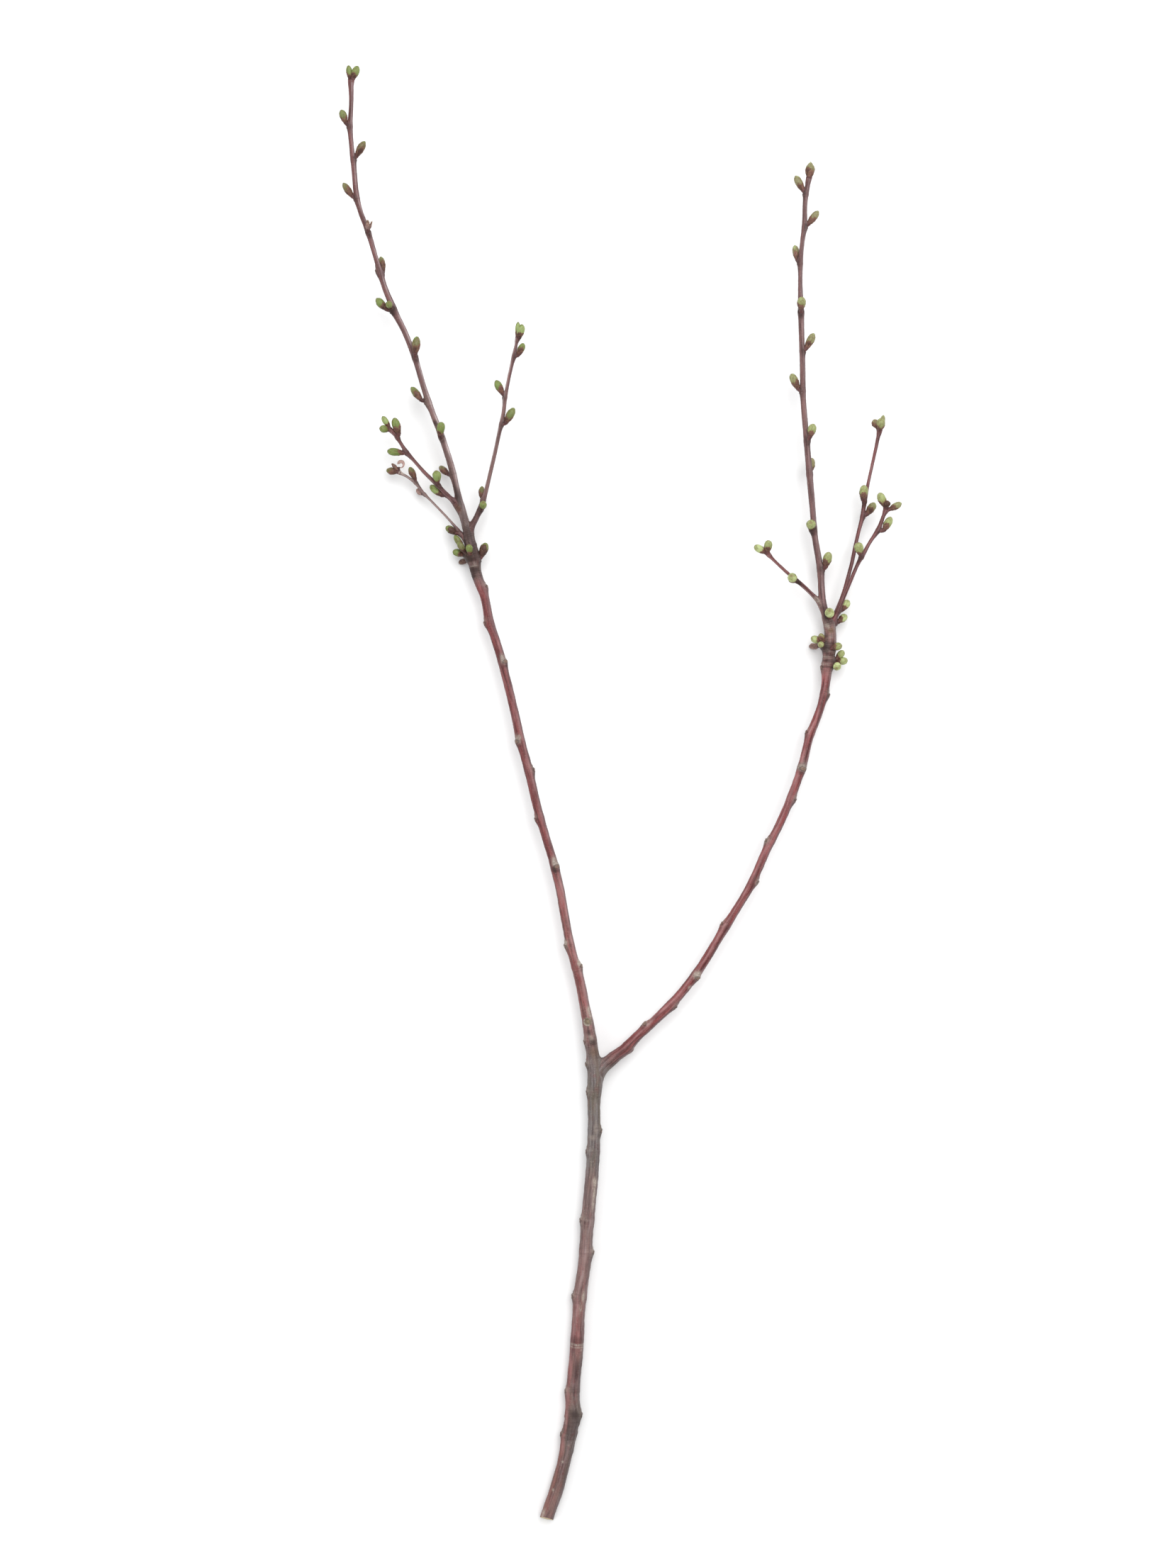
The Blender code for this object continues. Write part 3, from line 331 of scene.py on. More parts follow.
class Run:
    """Points along an axis: place, radius, plan v, length so far and directions."""

    def __init__(self, axis, step):
        data = np.array([[*place(u, v, z), d / 2 * MM, v] for u, v, z, d in axis])
        first, last = 2 * data[0] - data[1], 2 * data[-1] - data[-2]
        first[3], last[3] = data[0, 3], data[-1, 3]
        data = np.vstack([first, data, last])
        out = []
        for i in range(1, len(data) - 2):
            a, b, c, d = data[i - 1:i + 3]
            n = max(1, round(float(np.linalg.norm((c - b)[:3])) / step))
            t = (np.arange(n) / n)[:, None]
            out.append(0.5 * (2 * b + (c - a) * t + (2 * a - 5 * b + 4 * c - d) * t * t
                              + (3 * b - a - 3 * c + d) * t ** 3))
        out.append(data[-2:-1])
        data = np.vstack(out)
        self.p, self.r, self.v = data[:, :3], np.maximum(data[:, 3], 0.0004), data[:, 4]
        self.s = np.concatenate([[0.0], np.cumsum(np.linalg.norm(np.diff(self.p, axis=0), axis=1))])
        way = np.empty_like(self.p)
        way[1:-1] = self.p[2:] - self.p[:-2]
        way[0], way[-1] = self.p[1] - self.p[0], self.p[-1] - self.p[-2]
        self.way = unit(way)
        self.right = unit(np.cross(self.way, (0, 0, 1)))
        self.up = np.cross(self.right, self.way)

    def nearest(self, point):
        return int(np.linalg.norm((self.p - point)[:, :2], axis=1).argmin())

    def seat(self, u, v, offset=0.0):
        seat = len(self.p) // 2
        for _ in range(4):
            seat = self.nearest(place(u, v, self.p[seat, 2] / MM + offset))
        return seat


COARSE = {name: Run(axis, 0.0015) for name, axis in AXES.items()}
WOOD_POINTS = np.vstack([run.p for run in COARSE.values()])
WOOD_RADII = np.concatenate([run.r for run in COARSE.values()])


def clear_of_wood(row):
    """A bud's seat, base and tip where the part has them."""
    axis, ub, vb, ut, vt, width, low, high = row
    run = COARSE[axis]
    seat = run.seat(ub, vb, low)
    height = run.p[seat, 2] / MM
    base, tip = place(ub, vb, height + low), place(ut, vt, height + high)
    radius = width / 2 * MM
    end = seat >= len(run.p) - 4
    out, stop = run.way[-1], run.p[-1]
    tested = WOOD_RADII > 0
    if end:
        seat = len(run.p) - 1
        tested = np.linalg.norm(WOOD_POINTS - stop, axis=1) > 0.0035
    points, radii = WOOD_POINTS[tested], WOOD_RADII[tested]
    for _ in range(80):
        worst, push, share = 1e-5, None, 0.0
        for t, w in BUD_PROFILE:
            at = base + (tip - base) * t
            if t > 0.1:
                away = at - points
                length = np.linalg.norm(away, axis=1)
                short = radii + w * radius + 1.3 * GAP - length
                k = int(short.argmax())
                if short[k] > worst:
                    worst, push, share = float(short[k]), unit(away[k]), t
            if end:
                lean = float(np.linalg.norm(np.cross(unit(tip - base), out)))
                short = 1.1 * GAP + w * radius * lean - float((at - stop) @ out)
                if short > worst:
                    worst, push, share = short, out, t
        if push is None:
            break
        base = base + push * worst * (1.0 - 0.5 * share)
        tip = tip + push * worst * (0.5 + 0.5 * share)
    return axis, seat, base, tip, radius


# ---------------------------------------------------------------- mesh building
class Skin:
    """Collects grids of points into one mesh, with marks for its material and its own UV sheet."""

    def __init__(self):
        self.points, self.grow, self.tint, self.mark, self.scar = [], [], [], [], []
        self.faces, self.loop_uv, self.loop_rect, self.rects = [], [], [], []
        self.count = 0

    def add_points(self, co, grow, tint, mark, scar=(9.0, 9.0, 0.0, 0.0)):
        n = len(co)
        self.scar.append(np.broadcast_to(scar, (n, 4)))
        self.points.append(co)
        self.grow.append(np.broadcast_to(grow, (n, 3)))
        self.tint.append(np.broadcast_to(tint, (n, 4)))
        self.mark.append(np.broadcast_to(mark, (n, 4)))
        start = self.count
        self.count += n
        return start

    def rect(self, wide, tall):
        self.rects.append((wide, tall))
        return len(self.rects) - 1

    def grid(self, co, grow, tint, mark, wide, tall, wrap=True, strips=1, flip=False, scar=(9.0, 9.0, 0.0, 0.0)):
        """Rows by columns of points. Returns the index of its first point."""
        n, m = co.shape[:2]
        start = self.add_points(co.reshape(-1, 3), grow.reshape(-1, 3), tint.reshape(-1, 4), mark.reshape(-1, 4),
                                np.asarray(scar).reshape(-1, 4))
        index = start + np.arange(n * m).reshape(n, m)
        after = np.roll(index, -1, axis=1)
        cols = m if wrap else m - 1
        quads = np.stack([index[:-1, :cols], after[:-1, :cols], after[1:, :cols], index[1:, :cols]], axis=-1)
        k = np.arange(cols) / cols
        for strip in range(strips):
            lo, hi = (n - 1) * strip // strips, (n - 1) * (strip + 1) // strips
            if hi <= lo:
                continue
            rect = self.rect(wide, tall * (hi - lo) / (n - 1))
            y = np.arange(hi - lo) / (hi - lo)
            block = quads[lo:hi]
            uv = np.zeros((hi - lo, cols, 4, 2))
            uv[:, :, 0] = np.stack(np.broadcast_arrays(k[None, :], y[:, None]), -1)
            uv[:, :, 1] = uv[:, :, 0] + (1 / cols, 0)
            uv[:, :, 2] = uv[:, :, 0] + (1 / cols, 1 / (hi - lo))
            uv[:, :, 3] = uv[:, :, 0] + (0, 1 / (hi - lo))
            block, uv = block.reshape(-1, 4), uv.reshape(-1, 4, 2)
            if flip:
                block, uv = block[:, ::-1], uv[:, ::-1]
            self.faces.extend(block.tolist())
            self.loop_uv.append(uv.reshape(-1, 2))
            self.loop_rect.append(np.full(len(block) * 4, rect))
        return start

    def fan(self, ring, centre, grow, tint, mark, size, flip=False):
        """Closes a ring of point numbers to one new point in its middle."""
        middle = self.add_points(np.array([centre]), grow, tint, mark)
        rect = self.rect(size, size)
        n = len(ring)
        for k in range(n):
            three = [ring[k], ring[(k + 1) % n], middle]
            a, b = 2 * math.pi * k / n, 2 * math.pi * (k + 1) / n
            uv = [(0.5 + 0.5 * math.cos(a), 0.5 + 0.5 * math.sin(a)),
                  (0.5 + 0.5 * math.cos(b), 0.5 + 0.5 * math.sin(b)), (0.5, 0.5)]
            if flip:
                three, uv = three[::-1], uv[::-1]
            self.faces.append(three)
            self.loop_uv.append(np.array(uv))
            self.loop_rect.append(np.full(3, rect))

    def packed(self):
        """Where each rectangle of the UV sheet goes, and the sheet's side."""
        gap = 0.0005
        order = sorted(range(len(self.rects)), key=lambda i: -self.rects[i][1])
        area = sum((w + gap) * (h + gap) for w, h in self.rects)
        side = max(math.sqrt(area), max(w for w, _ in self.rects) + 2 * gap)
        while True:
            x = y = gap
            row, spots = 0.0, {}
            for i in order:
                w, h = self.rects[i]
                if x + w + gap > side:
                    x, y, row = gap, y + row + gap, 0.0
                spots[i] = (x, y)
                x += w + gap
                row = max(row, h)
            if y + row + gap <= side:
                return np.array([spots[i] for i in range(len(self.rects))]), side
            side *= 1.03

    def make(self, name, material):
        mesh = bpy.data.meshes.new(name)
        co = np.vstack(self.points)
        co[:, 2] = np.maximum(co[:, 2], 0.00005)
        mesh.from_pydata(co.tolist(), [], self.faces)
        for label, kind, values in (("grow", "FLOAT_VECTOR", self.grow), ("tint", "FLOAT_COLOR", self.tint),
                                    ("mark", "FLOAT_COLOR", self.mark), ("scar", "FLOAT_COLOR", self.scar)):
            layer = mesh.attributes.new(label, kind, "POINT")
            field = "vector" if kind == "FLOAT_VECTOR" else "color"
            layer.data.foreach_set(field, np.vstack(values).astype(np.float32).ravel())
        spots, side = self.packed()
        rects = np.concatenate(self.loop_rect)
        uv = (spots[rects] + np.vstack(self.loop_uv) * np.array(self.rects)[rects]) / side
        mesh.uv_layers.new(name="OFBake").data.foreach_set("uv", uv.astype(np.float32).ravel())
        mesh.materials.append(material)
        mesh.shade_smooth()
        made = bpy.data.objects.new(name, mesh)
        bpy.context.scene.collection.objects.link(made)
        return made


def wobble(seed, s, turn, wave, top=3):
    """Smooth, seamless unevenness between about -1 and 1."""
    rng = np.random.default_rng(seed)
    total = 0.0
    for _ in range(7):
        k = 2 * math.pi / wave * rng.uniform(0.55, 1.7)
        m = int(rng.integers(0, top + 1)) * (1 if rng.random() < 0.5 else -1)
        total = total + rng.uniform(0.5, 1.0) * np.sin(k * s + m * turn + rng.uniform(0, 6.28))
    return total / 3.0


def soft(x, lo, hi):
    t = np.clip((x - lo) / (hi - lo), 0.0, 1.0)
    return t * t * (3 - 2 * t)


def hump(x, wide):
    return np.exp(-(x / wide) ** 2)


def reach_of(points, centres, radii):
    """How far points are from a tube's surface, and the way out of it."""
    near, out = np.empty(len(points)), np.empty((len(points), 3))
    for lo in range(0, len(points), 4000):
        part = points[lo:lo + 4000]
        d = np.linalg.norm(part[:, None] - centres[None], axis=2) - radii
        i = d.argmin(axis=1)
        near[lo:lo + 4000] = d[np.arange(len(part)), i]
        out[lo:lo + 4000] = part - centres[i]
    return near, unit(out)


def flow_together(co, own, others):
    """Pushes a tube's surface out, where it meets others, to one smooth joint of that size."""
    flat = co.reshape(-1, 3)
    for centres, radii, size in others:
        box_lo = (centres - radii[:, None]).min(axis=0) - size
        box_hi = (centres + radii[:, None]).max(axis=0) + size
        ids = np.nonzero(np.all((flat > box_lo) & (flat < box_hi), axis=1))[0]
        if not len(ids):
            continue
        first, _ = reach_of(flat[ids], centres, radii)
        near = (first < size) & (first > -size)
        ids, first = ids[near], first[near]
        if not len(ids):
            continue
        fade = soft(first, -0.35 * size, -0.03 * size)
        at = flat[ids].copy()
        mine = np.all((own[0] > at.min(axis=0) - 0.02) & (own[0] < at.max(axis=0) + 0.02), axis=1)
        for _ in range(3):
            da, na = reach_of(at, own[0][mine], own[1][mine])
            db, nb = reach_of(at, centres, radii)
            h = np.clip(0.5 + 0.5 * (db - da) / size, 0, 1)
            f = db * (1 - h) + da * h - size * h * (1 - h)
            g = na * h[:, None] + nb * (1 - h)[:, None]
            step = np.clip(-f / np.maximum((g * g).sum(axis=1), 0.3), 0, size / 3) * fade
            at += g * step[:, None]
        flat[ids] = at
    return flat.reshape(co.shape)


DISCS = {(829, 1440)}    # scars that are round and face up
# Rings left by old bud scales: axis, v from, v to, height mm, spacing mm.
RING_ZONES = [
    ("leader", 817, 783, 0.20, 1.15), ("leader", 783, 742, 0.12, 1.3), ("leader", 1899, 1892, 0.30, 1.4),
    ("leader", 2030, 1982, 0.05, 3.1), ("right_limb", 948, 913, 0.22, 1.2),
    ("right_limb", 913, 876, 0.12, 1.4), ("right_limb", 1088, 1079, 0.14, 1.5),
    ("outer_twig", 748, 728, 0.12, 1.1), ("upper_twig", 724, 707, 0.14, 1.0),
    ("inner_twig", 850, 838, 0.10, 1.0), ("long_twig", 872, 856, 0.10, 1.0),
    ("short_twig", 866, 850, 0.10, 1.0),
]
# Pale, dark and grey stretches: mark, axis, v values, how strong at each.
STRETCHES = [
    ("grey", "leader", (2146, 2062, 2040, 1985, 1960, 1905, 1890, 1840, 1700, 1660, 1640, 1530, 1485, 1450, 1415, 830, 815, 740, 700),
     (0.60, 0.65, 0.80, 0.80, 0.65, 0.50, 0.30, 0.20, 0.45, 0.6, 0.95, 1.0, 0.80, 0.45, 0.1, 0.1, 0.6, 0.55, 0.0)),
    ("dark", "leader", (2146, 2090, 2060, 2040, 1990, 1960, 1920, 1895, 1660, 1630, 1500, 1480, 1460, 820, 800, 790, 760, 700, 640),
     (0.20, 0.18, 0.24, 0.32, 0.32, 0.24, 0.17, 0.08, 0.10, 0.25, 0.25, 0.20, 0.05, 0.14, 0.40, 0.18, 0.38, 0.15, 0.0)),
    ("dark", "leader", (1260, 1200, 850, 830, 560, 520, 380, 60), (0.0, 0.17, 0.16, 0.0, 0.0, 0.12, 0.14, 0.12)),
    ("dark", "right_limb", (860, 820, 200), (0.0, 0.13, 0.14)),
    ("dark", "long_twig", (890, 850, 600), (0.05, 0.22, 0.20)), ("dark", "short_twig", (890, 850, 700), (0.05, 0.20, 0.18)),
    ("dark", "inner_twig", (870, 850, 780), (0.05, 0.12, 0.12)),
    ("grey", "right_limb", (1540, 1505, 1494, 1480, 1090, 1086, 1080, 1074, 960, 935, 880, 860),
     (0.95, 0.9, 0.5, 0.1, 0.1, 0.6, 0.6, 0.1, 0.1, 0.30, 0.45, 0.2)),
    ("dark", "right_limb", (1540, 1500, 1470, 960, 930, 900, 880, 850), (0.25, 0.25, 0.1, 0.1, 0.06, 0.0, 0.0, 0.0)),
    ("dark", "outer_twig", (760, 730, 700), (0.6, 0.3, 0.0)),
    ("dark", "upper_twig", (728, 706, 690, 600), (0.35, 0.35, 0.2, 0.2)),
    ("pale", "thin_twig", (770, 745, 735, 660), (0.0, 0.05, 0.20, 0.20)),
    ("pale", "leader", (1885, 1860, 1690, 1670, 1480, 1440, 1240, 1210, 735, 715, 560, 530),
     (0.0, 0.13, 0.13, 0.0, 0.0, 0.12, 0.12, 0.0, 0.0, 0.10, 0.10, 0.0)),
    ("pale", "right_limb", (960, 945, 870, 855), (0.0, 0.12, 0.12, 0.0)),
    ("pale", "outer_twig", (710, 690, 560, 540), (0.0, 0.10, 0.10, 0.0)),
]
# Patches seen in the photo: axis, u, v, size along and across in mm, kind, how strong.
PATCHES = [
    ("leader", 710, 930, 3.5, 2.2, "pale", 0.8), ("leader", 731, 1042, 3.0, 2.4, "pale", 0.9),
    ("leader", 783, 1214, 3.6, 2.6, "pale", 1.0), ("leader", 781, 1227, 2.2, 2.0, "dark", 0.6),
    ("leader", 797, 1331, 2.4, 2.4, "pale", 0.9), ("leader", 817, 1359, 3.0, 2.0, "pale", 0.9),
    ("leader", 833, 1431, 4.0, 1.2, "pale", 0.8), ("leader", 834, 1462, 4.0, 1.6, "pale", 0.5),
    ("leader", 838.5, 1668, 4.0, 1.7, "pale", 1.5), ("leader", 838, 1688, 8.0, 1.0, "pale", 1.2), ("leader", 840, 1590, 5.0, 1.4, "pale", 0.5),
    ("leader", 836, 1604, 2.2, 3.2, "pale", 0.5), ("leader", 823, 1827, 4.5, 1.1, "pale", 0.8),
    ("leader", 819, 1842, 5.0, 0.9, "pale", 0.7), ("leader", 815, 1888, 3.0, 4.5, "dark", 0.2),
    ("leader", 807, 2012, 11.0, 4.2, "dark", 0.38), ("leader", 811, 1992, 3.0, 3.5, "dark", 0.4),
    ("leader", 802.5, 2037, 0.7, 0.6, "pale", 2.2), ("leader", 794.5, 2060, 0.7, 0.6, "pale", 2.2),
    ("leader", 819.5, 1903, 0.6, 0.6, "pale", 2.0), ("leader", 815, 1895.5, 0.6, 9.0, "pale", 1.2),
    ("leader", 815, 1899, 0.55, 9.0, "pale", 0.9), ("leader", 815, 1889, 2.4, 9.0, "dark", 0.25),
    ("leader", 813, 1930, 8.0, 3.6, "dark", 0.40), ("leader", 809, 1958, 3.0, 3.0, "dark", 0.30),
    ("leader", 808, 2050, 6.0, 3.0, "dark", 0.35), ("leader", 797, 2085, 12.0, 3.0, "dark", 0.30),
    ("leader", 796, 2017, 2.2, 1.6, "dark", 0.50), ("leader", 799, 2003, 3.5, 1.6, "pale", 0.25),
    ("leader", 781, 2099, 1.0, 0.9, "pale", 0.9), ("leader", 767, 2134, 5.0, 1.5, "pale", 0.9),
    ("leader", 670, 806, 1.6, 3.6, "dark", 0.5),
    ("leader", 667, 813, 1.4, 2.4, "dark", 0.5), ("leader", 661, 752, 6.0, 2.0, "dark", 0.4),
    ("leader", 645.5, 701, 7.0, 2.3, "dark", 0.85), ("leader", 641, 684, 5.0, 1.2, "dark", 0.5), ("leader", 614, 597, 2.6, 1.8, "dark", 0.9),
    ("leader", 620, 613, 2.0, 2.0, "dark", 0.7), ("upper_twig", 645, 717, 2.6, 2.6, "brown", 0.8),
    ("leader", 646.5, 717, 3.4, 2.2, "brown", 0.75), ("leader", 645, 722, 1.6, 1.4, "dark", 0.35),
    ("right_limb", 983, 1374, 3.0, 2.4, "pale", 0.9), ("right_limb", 973, 1392, 1.6, 1.0, "pale", 1.0),
    ("right_limb", 1079, 1185, 3.0, 2.0, "pale", 0.7), ("right_limb", 1131, 1083, 2.0, 4.0, "pale", 0.7),
    ("right_limb", 909, 1443, 2.4, 2.0, "pale", 0.8), ("right_limb", 1067, 1246, 2.2, 2.0, "pale", 0.6),
    ("right_limb", 1167, 883, 2.4, 1.8, "pale", 0.8), ("right_limb", 1172, 890, 2.0, 2.4, "brown", 1.0),
    # the dark patches at u 1164, v 864 on the right limb and at u 1160, v 859 on the inner twig are painted shadow in
    # the crotch of the right neck
    ("right_limb", 1164, 864, 6.5, 2.4, "dark", 0.8), ("inner_twig", 1160, 859, 5.0, 3.0, "dark", 0.12), ("right_limb", 1167, 919, 1.2, 4.2, "pale", 0.4),
    ("right_limb", 1165, 897, 2.2, 1.6, "dark", 0.5), ("right_limb", 1166, 933, 0.8, 5.0, "dark", 0.6),
    ("right_limb", 1166, 942, 0.6, 5.0, "dark", 0.5), ("right_limb", 1165, 928, 0.9, 3.6, "pale", 0.6),
    ("right_limb", 1164, 938, 0.8, 3.6, "pale", 0.5), ("right_limb", 1171, 902, 2.6, 2.2, "pale", 0.35),
    ("right_limb", 1163, 915, 2.0, 1.6, "brown", 0.5), ("leader", 664, 800, 0.6, 6.0, "pale", 0.9),
    ("leader", 671, 796, 1.6, 1.6, "pale", 0.40), ("leader", 665, 804, 0.9, 6.0, "dark", 0.5),
    ("right_limb", 868, 1500, 4.0, 5.0, "specks", 1.4),
    ("right_limb", 868, 1502, 3.2, 4.0, "dark", 0.35), ("right_limb", 880, 1482, 7.0, 2.4, "dark", 0.30),
    ("right_limb", 920, 1456, 9.0, 1.8, "dark", 0.35), ("right_limb", 893, 1452, 12.0, 1.3, "specks", 0.8),
    ("leader", 834, 1462, 6.0, 3.6, "specks", 0.9), ("leader", 836, 1470, 2.6, 2.2, "dark", 0.75),
    ("leader", 831, 1456, 2.0, 2.4, "dark", 0.60), ("leader", 831, 1426, 3.2, 1.6, "pale", 1.0),
    ("leader", 838, 1483, 3.0, 5.0, "brown", 0.40), ("leader", 662, 786, 3.8, 3.6, "brown", 0.9), ("leader", 666, 812, 5.5, 5.0, "dark", 0.35),
    ("leader", 650, 790, 2.6, 1.6, "pale", 0.35), ("thin_twig", 567, 665, 3.0, 2.0, "pale", 0.9), ("leader", 674, 775, 2.0, 1.6, "pale", 0.4),
    ("inner_twig", 1152, 846, 2.6, 2.2, "pale", 0.8), ("inner_twig", 1157, 855, 3.5, 2.6, "pale", 0.35),
    ("inner_twig", 1126, 821, 2.4, 1.6, "dark", 0.7),
]
# Small lumps left by old buds: axis, u, v, size along and across, height in mm.
LUMPS = [
    ("leader", 658, 784, 1.8, 2.0, 0.50), ("leader", 669, 787, 1.6, 1.8, 0.45), ("leader", 663, 776, 1.4, 1.8, 0.25),
    ("leader", 672, 768, 1.2, 1.6, 0.30), ("leader", 667, 811, 1.6, 2.0, 0.30), ("right_limb", 1172, 889, 1.7, 2.0, 0.45),
    ("right_limb", 1165, 899, 1.6, 2.0, 0.35), ("right_limb", 1166, 881, 1.4, 1.6, 0.30),
    ("right_limb", 1172, 905, 1.4, 1.6, 0.25), ("leader", 646, 721, 1.4, 1.8, 0.30),
    ("leader", 793, 2023, 1.8, 2.2, 0.35), ("leader", 796, 2010, 2.6, 2.2, 0.30), ("leader", 815, 2022, 1.8, 2.2, 0.35),
    ("leader", 809, 2048, 1.8, 2.0, 0.35), ("leader", 797, 2030, 1.4, 2.0, -0.20), ("leader", 813, 2033, 2.0, 2.0, -0.20),
    ("leader", 797, 1997, 1.5, 1.8, 0.35), ("leader", 817.5, 2009, 1.4, 1.8, 0.30), ("leader", 811, 1960, 2.0, 2.2, 0.20),
    ("leader", 820, 1925, 2.0, 2.0, 0.20), ("leader", 790, 2068, 2.0, 2.2, 0.20), ("leader", 803, 2068, 1.6, 2.0, 0.20),
    ("upper_twig", 642, 712, 0.9, 1.4, 0.30), ("right_limb", 860, 1497, 2.4, 3.0, 0.30),
]
# A painted highlight: a paler line along the lit side of the bark, where the light's shine falls: v values,
# its angle round the axis (0 right, 90 up, 180 left) and how strong it is.
PAINTED_HIGHLIGHT_STREAKS = {
    "leader": ((2146, 1900, 1860, 1700, 1640, 1500, 1400, 830, 800, 745, 720, 600, 400, 100),
               (135, 132, 122, 62, 60, 60, 56, 58, 60, 60, 56, 52, 58, 62),
               (0.60, 0.60, 0.60, 0.60, 0.20, 0.20, 0.95, 0.85, 0.10, 0.15, 0.95, 1.0, 0.75, 0.55)),
    "right_limb": ((1540, 1500, 1450, 1000, 950, 870, 840, 600, 250),
                   (112, 112, 114, 116, 100, 80, 68, 64, 64),
                   (0.1, 0.3, 0.85, 0.75, 0.2, 0.1, 0.40, 0.45, 0.40)),
    "outer_twig": ((760, 700, 650, 560, 470), (120, 125, 135, 140, 120), (0.1, 0.3, 0.5, 0.95, 0.7)),
    "upper_twig": ((730, 700, 600), (132, 132, 130), (0.2, 0.8, 0.6)),
    "thin_twig": ((772, 740, 660), (125, 120, 110), (0.2, 0.5, 0.5)),
    "inner_twig": ((862, 840, 780), (140, 140, 135), (0.5, 0.75, 0.6)),
    "long_twig": ((885, 850, 600), (95, 95, 90), (0.2, 0.45, 0.35)),
    "short_twig": ((885, 850, 715), (100, 95, 90), (0.2, 0.40, 0.35)),
}
SHOOT = {  # how far each axis has the colour of one-year wood, by v
    "leader": ((1870, 1800, 1540, 1480, 800, 735, 500, 350), (0.0, 0.5, 0.5, 0.0, 0.0, 0.9, 0.85, 0.65)), "right_limb": ((905, 850), (0.0, 0.65)),
    "outer_twig": ((760, 735), (0.8, 0.85)), "upper_twig": ((720, 700), (0.5, 0.55)),
    "thin_twig": ((770, 740), (0.7, 0.9)), "inner_twig": ((860, 840), (0.5, 0.5)),
    "long_twig": ((880, 860), (0.45, 0.45)), "short_twig": ((880, 860), (0.45, 0.45)),
}
GROW_SHIFT = {name: 1.7 * k for k, name in enumerate(AXES)}


def along(values_v, values, v):
    """Interpolates a value that is given at falling v."""
    return np.interp(-v, -np.array(values_v, float), np.array(values, float))


PARENT = {"right_limb": "leader", "outer_twig": "leader", "upper_twig": "leader", "thin_twig": "leader",
          "inner_twig": "right_limb", "long_twig": "right_limb", "short_twig": "right_limb"}
JOINT = {"right_limb": 0.0060, "outer_twig": 0.0022, "upper_twig": 0.0026, "thin_twig": 0.0018,
         "inner_twig": 0.0020, "long_twig": 0.0026, "short_twig": 0.0024}


def neighbours(name):
    """The tubes that grow out of this one, and the one it grows out of."""
    found = []
    for child, parent in PARENT.items():
        if parent == name:
            run = COARSE[child]
            start = run.s < 0.030
            found.append((run.p[start], run.r[start], JOINT[child]))
        if child == name:
            run = COARSE[parent]
            close = np.linalg.norm(run.p - COARSE[name].p[0], axis=1) < 0.045
            found.append((run.p[close], run.r[close], JOINT[child]))
    for axis, path, wide in SPURS:
        if axis == name:
            found.append((path[2:], wide[2:], 0.0014))
    return found


def patch_spread(run, th, u0, v0, tall, broad):
    """How much each point of a tube belongs to a patch seen from above at (u0, v0)."""
    seat = run.seat(u0, v0)
    size = float(run.r[seat])
    aside = float((place(u0, v0, (run.p[seat, 2] + size) / MM) - run.p[seat]) @ run.right[seat])
    middle = math.acos(min(0.97, max(-0.97, aside / size)))
    arc = ((th - middle + math.pi) % (2 * math.pi) - math.pi) * size
    far = ((run.s[:, None] - run.s[seat]) / (tall * MM)) ** 2 + (arc / (broad * MM)) ** 2
    return seat, np.exp(-far ** 1.6)


